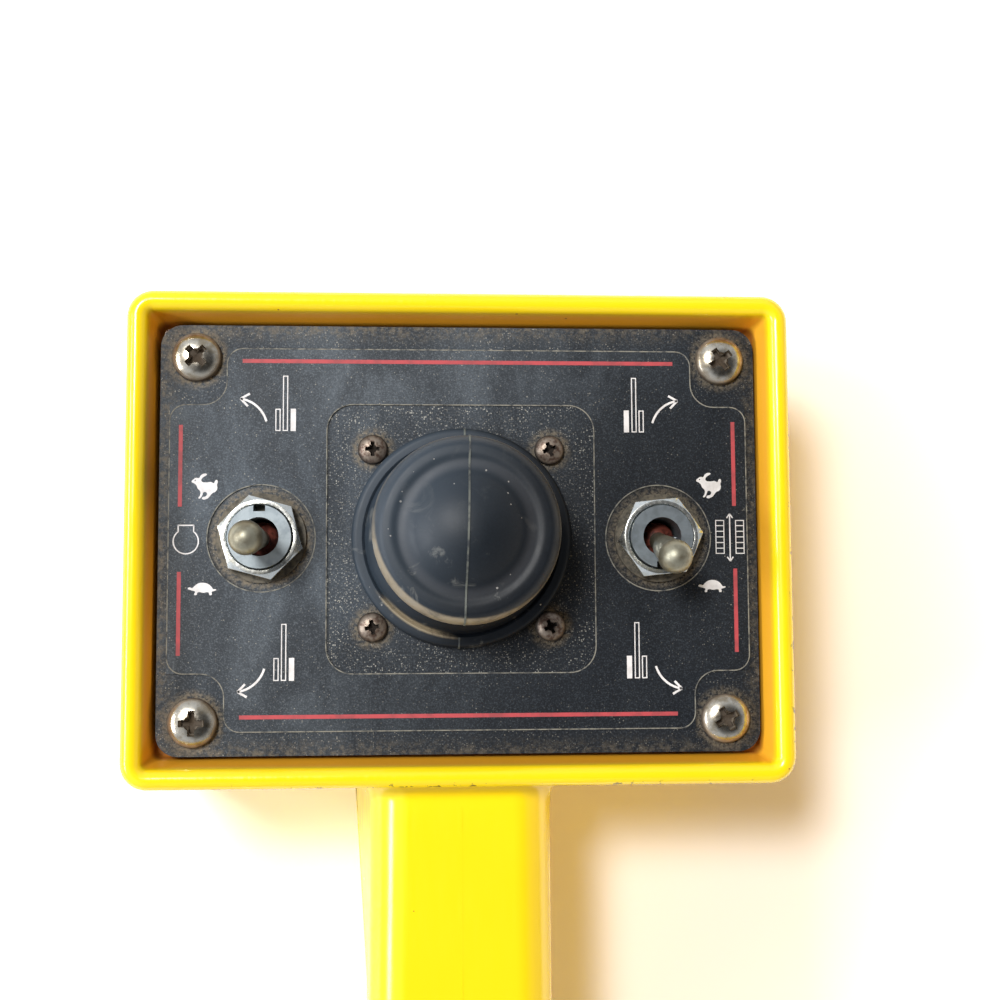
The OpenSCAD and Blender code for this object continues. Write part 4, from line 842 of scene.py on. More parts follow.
def handleSolid(name):
    # the whole handle outside: a fillet at the wall, two straight stretches and a rounded end
    look = handleLook
    length, endR = look["length"], look["endR"]
    bm = bmesh.new()
    rings = [handleRing(bm, -look["inWall"], 0, 1.0)]
    for share in look["filletShares"]:
        rings.append(handleRing(bm, share * look["filletLength"], 0, 1 - math.sqrt(1 - (1 - share) ** 2)))
    for distance in (*look["rings"], length - endR):
        rings.append(handleRing(bm, distance, 0))
    for angle in (18, 36, 54, 72, 90):
        turned = math.radians(angle)
        rings.append(handleRing(bm, length - endR * (1 - math.sin(turned)), endR * (1 - math.cos(turned))))
    loft(bm, rings, along=(0, -1, 0))
    return looseObject(name, bm)


def handleHollow(name):
    look, wall = handleLook, stationSize["wall"]
    bm = bmesh.new()
    distances = (-look["hollowInWall"], *look["rings"], look["length"] - wall)
    loft(bm, [handleRing(bm, distance, wall) for distance in distances], along=(0, -1, 0))
    return looseObject(name, bm)


def barsObject(name, radius, low, high, places, steps=40):
    bm = bmesh.new()
    for place in places:
        spinProfile(bm, [(0, low), (radius, low), (radius, high), (0, high)], steps, place=place)
    return looseObject(name, bm)


def blockObject(name, halfX, halfY, radius, low, high, steps=6, y=0.0):
    bm = bmesh.new()
    loft(bm, [plateRing(bm, halfX, halfY, radius, z, steps) for z in (low, high)])
    bmesh.ops.translate(bm, verts=bm.verts, vec=(0, y, 0))
    return looseObject(name, bm)


def softenParting(piece, height):
    # a small break on the outline where the two shells meet
    bm = bmesh.new()
    bm.from_mesh(piece.data)
    outline = [edge for edge in bm.edges if all(abs(vert.co.z - height) < 1e-6 for vert in edge.verts)
               and edge.calc_face_angle(0) > 0.5]
    bmesh.ops.bevel(bm, geom=outline, offset=stationSize["partingEdge"], offset_type="OFFSET", affect="EDGES",
                    segments=2, profile=0.5, material=-1)
    bm.to_mesh(piece.data)
    bm.free()


def screwPlaces(height=0):
    size = stationSize
    return [(x * size["screwX"], y * size["screwY"], height) for x in (-1, 1) for y in (-1, 1)]


def handleScrewPlaces(height=0):
    size = stationSize
    return [(x * size["handleScrewX"], size["handleScrewY"], height) for x in (-1, 1)]


def makeHousing():
    size = stationSize
    halfX, halfY, wall, rimR = size["halfX"], size["halfY"], size["wall"], size["rimR"]
    parting, ledge, insideR = size["partingZ"], size["ledgeZ"], size["insideR"]
    steps = 10
    bm = bmesh.new()
    rings = [plateRing(bm, halfX, halfY, size["cornerR"], parting - 4 * mm, steps)]
    for k in range(17):
        turned = math.pi * k / 16
        inset = rimR * (1 - math.cos(turned))
        rings.append(plateRing(bm, halfX - inset, halfY - inset, max(size["cornerR"] - inset, 0.9 * mm),
                               size["rimSpringZ"] + rimR * math.sin(turned), steps))
    # the well's sloping wall ends in a small curve on the ledge
    foot = 2 * rimR + size["slope"]
    for inset, height in ((foot - 0.15 * mm, ledge + 0.5 * mm), (foot + 0.25 * mm, ledge)):
        rings.append(plateRing(bm, halfX - inset, halfY - inset, size["wellR"], height, steps))
    loft(bm, rings)
    housing = looseObject("housingShell", bm)
    combine(housing, handleSolid("handleFront"), "UNION")
    combine(housing, blockObject("below", 0.1, 0.3, 0.01, -0.05, parting, 1), "DIFFERENCE")
    softenParting(housing, parting)
    inner = foot + size["ledgeW"]
    cavity = blockObject("cavity", halfX - wall, halfY - wall, insideR, 0, ledge - size["ledgeT"])
    combine(housing, cavity, "DIFFERENCE")
    combine(housing, blockObject("opening", halfX - inner, halfY - inner, insideR, 40 * mm, 50 * mm),
            "DIFFERENCE")
    combine(housing, handleHollow("hollow"), "DIFFERENCE")
    posts = barsObject("posts", size["postR"], parting + 0.05 * mm, ledge - 0.01 * mm, screwPlaces())
    combine(housing, posts, "UNION")
    combine(housing, barsObject("bores", size["insertR"], 0, 60 * mm, screwPlaces(), 30), "DIFFERENCE")
    turn = Matrix.Rotation(math.pi / 2, 3, "X")
    place = (0, size["glandY"], size["glandZ"])
    combine(housing, roundBar("glandHole", size["glandR"], -20 * mm, 20 * mm, 48, place, turn), "DIFFERENCE")
    dress(housing, finishes["yellowPlastic"], "root", ["housing"])


def makeCover():
    size = stationSize
    halfX, halfY, wall, edgeR = size["halfX"], size["halfY"], size["wall"], size["coverEdgeR"]
    top, steps = size["coverTop"], 10
    bm = bmesh.new()
    rings = []
    for k in range(7):
        turned = math.pi / 2 * k / 6
        inset = edgeR * (1 - math.sin(turned))
        rings.append(plateRing(bm, halfX - inset, halfY - inset, size["cornerR"] - inset,
                               edgeR * (1 - math.cos(turned)), steps))
    rings.append(plateRing(bm, halfX, halfY, size["cornerR"], 14 * mm, steps))
    loft(bm, rings)
    cover = looseObject("backCoverShell", bm)
    combine(cover, handleSolid("handleBack"), "UNION")
    combine(cover, blockObject("above", 0.1, 0.3, 0.01, top, 0.1, 1), "DIFFERENCE")
    softenParting(cover, top)
    combine(cover, blockObject("pocket", halfX - wall, halfY - wall, size["insideR"], wall, 0.05),
            "DIFFERENCE")
    combine(cover, handleHollow("hollow"), "DIFFERENCE")
    places = screwPlaces() + handleScrewPlaces()
    combine(cover, barsObject("posts", size["postR"], 1 * mm, top - 0.05 * mm, places), "UNION")
    combine(cover, barsObject("bores", size["screwBoreR"], -1 * mm, 20 * mm, places, 30), "DIFFERENCE")
    combine(cover, barsObject("sinks", size["sinkR"], -1 * mm, size["sinkZ"], places), "DIFFERENCE")
    dress(cover, finishes["yellowPlastic"], "root", ["back_cover"])


def makeMouldLine():
    # a fine rib down the handle's front, where the mould's inserts meet
    halfX, halfY, low, high, y = handleLook["mouldLine"]
    line = blockObject("handleMouldLine", halfX, halfY, 0.05 * mm, low, high, 2, y)
    dress(line, finishes["yellowPlastic"], "root", ())


makeHousing()
print("housing made")
makeCover()
print("back cover made")
makeMouldLine()


# joystick boot: base ring, skirt in two bands and cap; they meet at rings where the bodies do

bootLook = {
    "top": 52 * mm,
    "wall": 1.8 * mm,
    "steps": 96,
    # base ring: radius and height over the panel, in millimetres, from its foot round to the bead below
    "baseFoot": ((18.1, 0), (20.9, 0)),
    "baseRoll": (19.9, 1.1, 1.1),
    "groove": ((18.95, 2.2), (18.7, 2.0), (18.45, 1.7), (18.2, 2.2)),
    "bore": ((16.4, 2.2), (16.9, 0.6), (16.9, -3)),
    "bead": ((18.2, -3), (20.4, -3), (20.4, -2), (18.1, -2)),
    # skirt: a soft waist from the groove up to the cap, in bands that part at these heights
    "skirt": ((18.2, 2.2), (17.6, 3.6), (15.9, 5.6), (14.7, 8), (14.5, 10), (14.9, 12)),
    "bandZ": 59 * mm,
    "splitZ": 64 * mm,
    # cap: neck, rolled crest, hollow and dome
    "neck": ((14.9, 12), (15.5, 15), (16.1, 18.6)),
    "crestRoll": (13.2, 22.4, 3.6),
    "hollow": ((13.5, 25.72), (12.3, 25.5), (11.2, 25.62)),
    "domeR": 15 * mm,
    "domeUp": 14.87 * mm,
    "domeAngles": (43, 38, 33, 28, 23, 18, 13, 8, 4, 0),
    # the mould line's rib
    "seamWidth": 0.34 * mm,
    "seamLift": 0.12 * mm,
    "seamDepth": 0.3 * mm,
    "seamTurn": 88.3,
}


def bandBetween(points, low, high):
    # the stretch of a profile between two heights, with its ends cut exactly there
    kept = []
    for (r0, h0), (r1, h1) in zip(points, points[1:]):
        for edge in (low, high):
            if (h0 - edge) * (h1 - edge) < 0:
                share = (edge - h0) / (h1 - h0)
                kept.append((r0 + (r1 - r0) * share, edge))
        if low <= h1 <= high:
            kept.append((r1, h1))
    if low <= points[0][1] <= high:
        kept.insert(0, points[0])
    return kept


def smoothProfile(points, steps):
    # a soft curve through the profile's points
    curve = []
    for k in range(len(points) - 1):
        a, b = points[max(k - 1, 0)], points[k]
        c, d = points[k + 1], points[min(k + 2, len(points) - 1)]
        for step in range(steps):
            t = step / steps
            curve.append(tuple(0.5 * (2 * b[i] + (c[i] - a[i]) * t
                                      + (2 * a[i] - 5 * b[i] + 4 * c[i] - d[i]) * t * t
                                      + (3 * b[i] - 3 * c[i] + d[i] - a[i]) * t ** 3) for i in (0, 1)))
    curve.append(points[-1])
    return curve


def overPanel(points):
    # radii and heights over the panel, from millimetres
    return [(radius * mm, bootLook["top"] + height * mm) for radius, height in points]


def seamRibbon(bm, points, both=True):
    # the flash left by a two-part mould: a thin rib over a spun profile, on one side or right across
    look = bootLook
    raised = []
    for k, (radius, height) in enumerate(points):
        near, far = points[max(k - 1, 0)], points[min(k + 1, len(points) - 1)]
        run = math.hypot(far[0] - near[0], far[1] - near[1]) / look["seamLift"]
        raised.append((radius + (far[1] - near[1]) / run, height - (far[0] - near[0]) / run))
    if both:
        raised += [(-radius, height) for radius, height in reversed(raised[:-1])]
    fresh = [bm.verts.new((radius, -look["seamWidth"] / 2, height)) for radius, height in raised]
    edges = [bm.edges.new(pair) for pair in zip(fresh, fresh[1:])]
    made = bmesh.ops.extrude_edge_only(bm, edges=edges)["geom"]
    moved = [item for item in made if isinstance(item, bmesh.types.BMVert)]
    bmesh.ops.translate(bm, verts=moved, vec=(0, look["seamWidth"], 0))
    faces = [item for item in made if isinstance(item, bmesh.types.BMFace)]
    bmesh.ops.recalc_face_normals(bm, faces=faces)
    bmesh.ops.solidify(bm, geom=faces, thickness=look["seamDepth"])


def finishSeam(name, bm, body):
    turnPiece(bm, bm.verts, bootLook["seamTurn"], "Z")
    bmesh.ops.recalc_face_normals(bm, faces=bm.faces)
    dress(looseObject(name, bm), finishes["seamRubber"], body, (), sharp=60, weighted=False)


def makeBoot():
    look = bootLook
    wall, steps, rubber = look["wall"], look["steps"], finishes["bootRubber"]
    # base ring with its bead under the panel
    rollR, rollUp, radius = look["baseRoll"]
    outer = overPanel((*look["baseFoot"], *arc(rollR, rollUp, radius, -8, 90, 8)))
    groove = overPanel(look["groove"])
    bm = bmesh.new()
    spinProfile(bm, outer + groove + overPanel((*look["bore"], *look["bead"])), steps, closed=True)
    dress(looseObject("bootBase", bm), rubber, "root", ["boot_base"], weighted=False)
    bm = bmesh.new()
    for half in range(2):
        seamRibbon(bm, outer[1:] + groove[:1], both=False)
        turnPiece(bm, bm.verts, 180, "Z")
    finishSeam("bootBaseSeam", bm, "root")

    # skirt: one curve cut into two bands at the heights where the bodies meet; neither band rides a body
    skirt = smoothProfile(overPanel(look["skirt"]), 4)
    for name, low, high, bodies in (("bootSkirtLow", skirt[0][1], look["bandZ"], ("root", "cradle")),
                                    ("bootSkirtHigh", look["bandZ"], look["splitZ"], ("cradle", "stick"))):
        band = bandBetween(skirt, low, high)
        inside = [(radius - wall, height) for radius, height in reversed(band)]
        bm = bmesh.new()
        spinProfile(bm, band + inside, steps, closed=True)
        piece = looseObject(name, bm)
        dress(piece, rubber, None, (), weighted=False)
        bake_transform(piece)
        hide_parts("boot_skirt")

    rollR, rollUp, radius = look["crestRoll"]
    roll = overPanel(arc(rollR, rollUp, radius, -38, 62, 12))
    neck = smoothProfile(overPanel(look["neck"]) + roll[:1], 4)[:-1]
    hollow = smoothProfile(roll[-1:] + overPanel(look["hollow"]), 4)[1:-1]
    dome = [(look["domeR"] * math.sin(math.radians(angle)),
             look["top"] + look["domeUp"] + look["domeR"] * math.cos(math.radians(angle)))
            for angle in look["domeAngles"]]
    outside = neck + roll + hollow + dome
    bm = bmesh.new()
    spinProfile(bm, outside, steps)
    bmesh.ops.solidify(bm, geom=bm.faces, thickness=wall)
    bmesh.ops.recalc_face_normals(bm, faces=bm.faces)
    dress(looseObject("bootCap", bm), rubber, "stick", ["boot_cap"], sharp=60, weighted=False)
    bm = bmesh.new()
    seamRibbon(bm, outside)
    finishSeam("bootCapSeam", bm, "stick")


makeBoot()
print("boot made")


# screws: pan heads with a cross recess

screwLook = {
    # head diameter and height, shank diameter and length
    "panel": (9.3 * mm, 2.6 * mm, 4.8 * mm, 12.7 * mm),
    "joystick": (5.7 * mm, 2 * mm, 3 * mm, 9.7 * mm),
    "cover": (7.4 * mm, 2.4 * mm, 4 * mm, 15.7 * mm),
    # how far each driver's cross is turned; the places run lower left, upper left, lower right, upper right
    "panelTurns": (0, 45, 30, 35),
    "joystickTurns": (10, 0, 25, 20),
    "coverTurns": (-50, 10, -10, 50, -40, 40),
    # the head's outline, as shares of its radius, and the rim's, as shares of radius and height
    "domeShares": (0, 0.2, 0.4, 0.6, 0.75, 0.87, 0.95),
    "rimShares": ((0.99, 0.42), (1, 0.3), (1, 0.08), (0.985, 0)),
    # one arm of the recess: length and width as shares of the head's diameter, depth of its height
    "armShares": (0.3, 0.082, 0.74),
    "coneShares": ((0, 0.08), (0.13, 0.5), (0.17, 1.4)),
}


def panScrew(bm, headD, headH, shankD, shankL, place, down=True):
    # a pan head that stands on z = 0, its shank below
    headR = headD / 2
    dome = [(headR * share, headH * (1 - 0.5 * share ** 3.2)) for share in screwLook["domeShares"]]
    edge = [(headR * wide, headH * high) for wide, high in screwLook["rimShares"]]
    shank = [(shankD / 2, 0), (shankD / 2, -shankL), (0, -shankL - 0.3 * mm)]
    fresh = spinProfile(bm, dome + edge + shank, 48)
    if not down:
        turnPiece(bm, fresh, 180, "X")
    bmesh.ops.translate(bm, verts=fresh, vec=place)


def crossArm(bm, headD, headH, turn, place, down=True):
    # one arm of a tapered driver's recess
    long, wide, high = screwLook["armShares"]
    deep = headH * high
    made = bmesh.ops.create_cone(bm, cap_ends=True, segments=4, radius1=0.62, radius2=1.0, depth=1.0)["verts"]
    turnPiece(bm, made, 45, "Z")
    bmesh.ops.scale(bm, verts=made, vec=(headD * long * 1.42, headD * wide * 1.42, deep + 1 * mm))
    bmesh.ops.translate(bm, verts=made, vec=(0, 0, headH - deep / 2 + 0.5 * mm))
    turnPiece(bm, made, turn, "Z")
    if not down:
        turnPiece(bm, made, 180, "X")
    bmesh.ops.translate(bm, verts=made, vec=place)


def coneCutter(bm, headD, headH, place, down=True):
    low, middle, high = screwLook["coneShares"]
    fresh = spinProfile(bm, [(0, headH * low[1]), (headD * middle[0], headH * middle[1]),
                             (headD * high[0], headH + 1 * mm), (0, headH + 1 * mm)], 24)
    if not down:
        turnPiece(bm, fresh, 180, "X")
    bmesh.ops.translate(bm, verts=fresh, vec=place)


def makeScrews(name, node, material, kind, places, down=True):
    headD, headH, shankD, shankL = screwLook[kind]
    turns = screwLook[kind + "Turns"]
    bm = bmesh.new()
    for place in places:
        panScrew(bm, headD, headH, shankD, shankL, place, down)
    screws = looseObject(name, bm)
    for quarter in (0, 90):
        bm = bmesh.new()
        for place, turn in zip(places, turns):
            crossArm(bm, headD, headH, turn + quarter, place, down)
        combine(screws, looseObject("arms", bm), "DIFFERENCE")
    bm = bmesh.new()
    for place in places:
        coneCutter(bm, headD, headH, place, down)
    combine(screws, looseObject("cones", bm), "DIFFERENCE")
    dress(screws, material, "root", [node], sharp=40)


stickScrew, panelTop = stationSize["stickScrew"], stationSize["panelTop"]
stickPlaces = [(x * stickScrew, y * stickScrew, panelTop) for x in (-1, 1) for y in (-1, 1)]
coverPlaces = screwPlaces(stationSize["sinkZ"]) + handleScrewPlaces(stationSize["sinkZ"])
makeScrews("panelScrewSet", "panel_screws", finishes["panelStainless"], "panel",
           screwPlaces(panelTop))
makeScrews("joystickScrewSet", "joystick_screws", finishes["rustySteel"], "joystick",
           stickPlaces)
makeScrews("coverScrewSet", "cover_screws", finishes["stainless"], "cover", coverPlaces,
           down=False)
print("screws made")


# toggles: chamfered nuts and bat levers; bushings, washers and seals keep the CAD shape

toggleLook = {
    "pivotZ": 49.5 * mm,
    "nutZ": 52.8 * mm,
    "nutAcross": 14.3 * mm,
    "nutT": 3.2 * mm,
    "boreR": 6.05 * mm,
    "boreMouthR": 6.32 * mm,
    "boreMouthH": 0.3 * mm,
    "chamferR": 7.0 * mm,
    "chamferH": 0.85 * mm,
    "softEdge": 0.07 * mm,
    "ballR": 2.6 * mm,
    "legR": 1.6 * mm,
    "legL": 8.5 * mm,
    # the bat: radius and height over the pivot, in millimetres, then its round tip
    "bat": ((0, 1), (1.75, 1.4), (1.75, 8), (1.9, 8.8), (2.25, 10), (2.5, 13.5), (2.68, 18.6)),
    "tipR": 3.15 * mm,
    "tipUp": 20.85 * mm,
    "pinHoleR": 0.95 * mm,
    "plungerHoleR": 1.15 * mm,
    # degrees: how the nuts are turned, and how the levers lean along Y and to the side
    "nutTurns": {"left": -15, "right": 6},
    "leans": {"left": (3, 3), "right": (12.5, 0)},
}


def makeNut(name, node, x, turn):
    look = toggleLook
    thick, over = look["nutT"], 0.2 * mm
    cornerR = look["nutAcross"] / math.sqrt(3)
    bm = bmesh.new()
    bmesh.ops.create_cone(bm, cap_ends=True, segments=6, radius1=cornerR, radius2=cornerR,
                          depth=thick + 2 * over)
    turnPiece(bm, bm.verts, 30 + turn, "Z")
    bmesh.ops.translate(bm, verts=bm.verts, vec=(0, 0, thick / 2))
    nut = looseObject(name, bm)
    flank, flatR, wide = look["chamferH"], look["chamferR"], cornerR + over
    bm = bmesh.new()
    spinProfile(bm, [(0, 0), (flatR, 0), (wide, flank), (wide, thick - flank), (flatR, thick),
                     (0, thick)], 72)
    combine(nut, looseObject("chamfer", bm), "INTERSECT")
    boreR, mouthR = look["boreR"], look["boreMouthR"]
    bm = bmesh.new()
    spinProfile(bm, [(0, -over), (boreR, -over), (boreR, thick - look["boreMouthH"]),
                     (mouthR, thick + over / 10), (mouthR, thick + over), (0, thick + over)], 72)
    combine(nut, looseObject("bore", bm), "DIFFERENCE")
    bm = bmesh.new()
    bm.from_mesh(nut.data)
    bmesh.ops.translate(bm, verts=bm.verts, vec=(x, 0, look["nutZ"]))
    softenEdges(bm, look["softEdge"], 2, 18)
    bm.to_mesh(nut.data)
    bm.free()
    dress(nut, finishes["brightZinc"], "root", [node], sharp=30)


def makeLever(name, node, body, x, lean, sideLean):
    look = toggleLook
    tip = arc(0, look["tipUp"], look["tipR"], -31, 90, 14)[:-1] + [(0, look["tipUp"] + look["tipR"])]
    bat = [(radius * mm, height * mm) for radius, height in look["bat"]]
    bm = bmesh.new()
    spinProfile(bm, bat + tip, 48)
    turnPiece(bm, bm.verts, -sideLean, "Y")
    lever = looseObject(name, bm)
    legR, legL, edge = look["legR"], look["legL"], 0.25 * mm
    ball = arc(0, 0, look["ballR"], -52, 90, 12)[:-1] + [(0, look["ballR"])]
    bm = bmesh.new()
    spinProfile(bm, [(0, -legL), (legR - edge, -legL), (legR, edge - legL)] + ball, 48)
    combine(lever, looseObject("ball", bm), "UNION")
    across = Matrix.Rotation(math.pi / 2, 3, "Y")
    combine(lever, roundBar("pinHole", look["pinHoleR"], -4 * mm, 4 * mm, 24, turn=across), "DIFFERENCE")
    combine(lever, roundBar("plungerHole", look["plungerHoleR"], -9 * mm, -2.5 * mm, 24), "DIFFERENCE")
    bm = bmesh.new()
    bm.from_mesh(lever.data)
    turnPiece(bm, bm.verts, lean, "X")
    bmesh.ops.translate(bm, verts=bm.verts, vec=(x, 0, look["pivotZ"]))
    bm.to_mesh(lever.data)
    bm.free()
    dress(lever, finishes["dullNickel"], body, [node], sharp=40)


toggleSides = (("left", -stationSize["toggleX"]), ("right", stationSize["toggleX"]))
for side, x in toggleSides:
    makeNut(side + "ToggleNut", side + "_toggle_nut", x, toggleLook["nutTurns"][side])
for side, x in toggleSides:
    makeLever(side + "Lever", side + "_toggle_lever", side + "_lever", x, *toggleLook["leans"][side])
print("toggles made")


# printed graphics on the overlay: generic signs, thin ink

inkLook = {
    "low": 52.28 * mm,
    "high": 52.33 * mm,
}


def raiseInk(name, bm, material):
    faces = list(bm.faces)
    made = bmesh.ops.extrude_face_region(bm, geom=faces)
    tops = [item for item in made["geom"] if isinstance(item, bmesh.types.BMVert)]
    bmesh.ops.translate(bm, verts=tops, vec=(0, 0, inkLook["high"] - inkLook["low"]))
    bmesh.ops.recalc_face_normals(bm, faces=bm.faces)
    dress(looseObject(name, bm), material, "root", (), weighted=False)


def inkBar(bm, x0, y0, x1, y1, outline=0.0):
    # a flat bar between two corners, in millimetres; with an outline it is only a frame
    made = bmesh.ops.create_grid(bm, x_segments=1, y_segments=1, size=0.5)["verts"]
    bmesh.ops.scale(bm, verts=made, vec=(abs(x1 - x0) * mm, abs(y1 - y0) * mm, 1))
    bmesh.ops.translate(bm, verts=made, vec=((x0 + x1) / 2 * mm, (y0 + y1) / 2 * mm, inkLook["low"]))
    if outline:
        face = made[0].link_faces[0]
        bmesh.ops.inset_region(bm, faces=[face], thickness=outline * mm, use_even_offset=True,
                               use_boundary=True)
        bmesh.ops.delete(bm, geom=[face], context="FACES_ONLY")


def inkStroke(bm, start, end, width):
    # a straight stroke between two points, in millimetres
    dx, dy = end[0] - start[0], end[1] - start[1]
    made = bmesh.ops.create_grid(bm, x_segments=1, y_segments=1, size=0.5)["verts"]
    bmesh.ops.scale(bm, verts=made, vec=(math.hypot(dx, dy) * mm, width * mm, 1))
    turnPiece(bm, made, math.degrees(math.atan2(dy, dx)), "Z")
    middle = ((start[0] + end[0]) / 2 * mm, (start[1] + end[1]) / 2 * mm, inkLook["low"])
    bmesh.ops.translate(bm, verts=made, vec=middle)


def inkArc(bm, centre, radius, start, end, width, steps=12):
    # a curved stroke: an edge spun through an angle, millimetres and degrees
    a = math.radians(start)
    sides = [radius + s * width / 2 for s in (-1, 1)]
    verts = [bm.verts.new(((centre[0] + reach * math.cos(a)) * mm, (centre[1] + reach * math.sin(a)) * mm,
                           inkLook["low"])) for reach in sides]
    edge = bm.edges.new(verts)
    bmesh.ops.spin(bm, geom=verts + [edge], cent=(centre[0] * mm, centre[1] * mm, 0), axis=(0, 0, 1),
                   angle=math.radians(end - start), steps=steps)


def inkArrowHead(bm, tip, angle, length, width, stroke):
    # two barbs that meet at the tip; angle is where the arrow points, in degrees
    for side in (-1, 1):
        a = math.radians(angle + 180 + side * width)
        inkStroke(bm, tip, (tip[0] + length * math.cos(a), tip[1] + length * math.sin(a)), stroke)


def inkBlob(name, points, eye=None):
    # a filled silhouette with soft corners, as a flat curve made into a mesh; millimetres
    data = bpy.data.curves.new(name, "CURVE")
    data.dimensions = "2D"
    data.fill_mode = "BOTH"
    data.resolution_u = 4
    for outline in [points] + ([eye] if eye else []):
        spline = data.splines.new("BEZIER")
        spline.bezier_points.add(len(outline) - 1)
        for point, (x, y) in zip(spline.bezier_points, outline):
            point.co = (x * mm, y * mm, 0)
            point.handle_left_type = point.handle_right_type = "AUTO"
        spline.use_cyclic_u = True
    curve = bpy.data.objects.new(name, data)
    mesh = bpy.data.meshes.new_from_object(curve)
    bpy.data.objects.remove(curve, do_unlink=True)
    return mesh


# all in millimetres from the joystick's axis
edgeDustLook = {
    "width": 0.2,
    # outside of the film: half sizes, corners, and the notches round the corner screws
    "edge": (55.4, 36.4),
    "cornerR": 3.0,
    "notch": (44.7, 25.5),
    "notchR": 4.5,
    # cut-outs for the joystick and the toggles
    "square": 25.7,
    "squareR": 5.0,
    "windowR": 10.2,
}


def makeDustSeams():
    # dust packed along the overlay's cut edges: outside, joystick square and toggle windows
    look = edgeDustLook
    width, cornerR, notchR = look["width"], look["cornerR"], look["notchR"]
    edgeX, edgeY = look["edge"]
    notchX, notchY = look["notch"]
    square, squareR = look["square"], look["squareR"]
    bm = bmesh.new()
    for s in (-1, 1):
        inkStroke(bm, (cornerR - notchX, s * edgeY), (notchX - cornerR, s * edgeY), width)
        inkStroke(bm, (s * edgeX, cornerR - notchY), (s * edgeX, notchY - cornerR), width)
        inkStroke(bm, (squareR - square, s * square), (square - squareR, s * square), width)
        inkStroke(bm, (s * square, squareR - square), (s * square, square - squareR), width)
        inkArc(bm, (s * stationSize["toggleX"] / mm, 0), look["windowR"], 0, 360, width, 72)
        for u in (-1, 1):
            inkStroke(bm, (s * notchX, u * (notchY + notchR)), (s * notchX, u * (edgeY - cornerR)), width)
            inkStroke(bm, (s * (notchX + notchR), u * notchY), (s * (edgeX - cornerR), u * notchY), width)
            corner = math.degrees(math.atan2(-u, -s))
            for centre in ((s * (notchX - cornerR), u * (edgeY - cornerR)),
                           (s * (edgeX - cornerR), u * (notchY - cornerR))):
                inkArc(bm, centre, cornerR, corner + 135, corner + 225, width, 8)
            centre = (s * (notchX + notchR), u * (notchY + notchR))
            inkArc(bm, centre, notchR, corner - 45, corner + 45, width, 10)
            centre = (s * (square - squareR), u * (square - squareR))
            inkArc(bm, centre, squareR, corner + 135, corner + 225, width, 10)
    bmesh.ops.remove_doubles(bm, verts=bm.verts, dist=1e-6)
    raiseInk("overlayEdgeDust", bm, finishes["dustSeam"])


hareShape = [
    (-2.6, 1.0), (-2.25, 1.45), (-1.7, 1.75), (-1.25, 1.7), (-0.9, 2.2), (-0.2, 2.55), (0.25, 2.4),
    (-0.3, 1.95), (-0.75, 1.45), (-0.7, 1.05), (0.1, 0.85), (1.0, 0.95), (1.6, 0.75), (1.75, 1.1),
    (2.1, 1.35), (2.3, 0.95), (2.15, 0.4), (2.25, -0.2), (1.9, -0.9), (1.3, -1.2), (0.9, -1.7),
    (0.4, -2.2), (-0.6, -2.3), (-0.55, -2.0), (0.1, -1.75), (0.3, -1.2), (-0.3, -1.0), (-0.55, -1.5),
    (-0.9, -2.1), (-1.25, -2.2), (-1.0, -1.6), (-0.95, -0.9), (-1.45, -0.3), (-1.75, 0.35), (-2.1, 0.65),
]
hareEye = [(-2.05, 1.25), (-1.92, 1.38), (-1.8, 1.25), (-1.92, 1.12)]
tortoiseShape = [
    (-2.7, 0.05), (-2.4, 0.35), (-1.9, 0.2), (-1.5, 0.55), (-0.8, 1.05), (0.1, 1.2), (1.0, 1.0),
    (1.7, 0.45), (2.05, 0.0), (2.6, -0.1), (2.1, -0.4), (1.75, -0.55), (1.8, -1.05), (1.35, -1.1),
    (1.2, -0.65), (0.2, -0.7), (-0.9, -0.65), (-1.05, -1.1), (-1.5, -1.05), (-1.35, -0.5), (-1.8, -0.3),
    (-2.3, -0.15),
]

# all in millimetres from the joystick's axis
signLook = {
    # red lines: half width, level ones (x, x, y) and upright ones (x, y, y)
    "redHalf": 0.375,
    "redLevel": ((-41.8, 41.3, 34.0), (-41.8, 41.3, -33.65)),
    "redUpright": ((-53.3, 21.6, 6.0), (-53.3, -6.35, -22.1), (52.95, 22.6, 6.2), (52.95, -5.95, -22.0)),
    # lift signs on the right, mirrored to the left: foot, the arrow's tail and tip, and its bulge
    "lifts": ((20.5, (37.2, 22.35), (42.1, 26.7), 1), (-26.9, (37.2, -24.6), (42.15, -28.9), -1)),
    # its bars: near edge, far edge, height, outline
    "liftBars": ((34.1, 33.1, 10.7, 0.2), (35.5, 34.5, 4.3, 0.2), (32.6, 31.6, 4.3, 0.0)),
    "liftStroke": 0.42,
    "liftBend": 0.92,
    "liftHead": (2.0, 38),
    # engine sign: a round body, then the straight strokes of its neck
    "engineStroke": 0.24,
    "engineBody": ((-52.1, -0.6), 2.35, 128, 412),
    "engineNeck": ((-53.55, 1.2, -53.55, 2.45), (-50.65, 1.2, -50.65, 2.45), (-53.65, 2.45, -50.55, 2.45)),
    # track sign: two ladders (left edges, width, bottom, height, rungs) and a double arrow
    "ladders": (49.2, 53.1),
    "ladderSize": (1.75, -3.1, 6.55, 6),
    "ladderStroke": 0.17,
    "rungInset": 0.1,
    "trackArrow": (52.03, 4.5, -4.3),
    "trackTips": ((4.65, 90), (-4.5, -90)),
    "trackHead": (1.0, 36),
    # speed signs
    "hares": ((-48.55, 9.75), (48.2, 10.1)),
    "tortoises": ((-48.9, -9.6), (48.4, -9.35)),
}


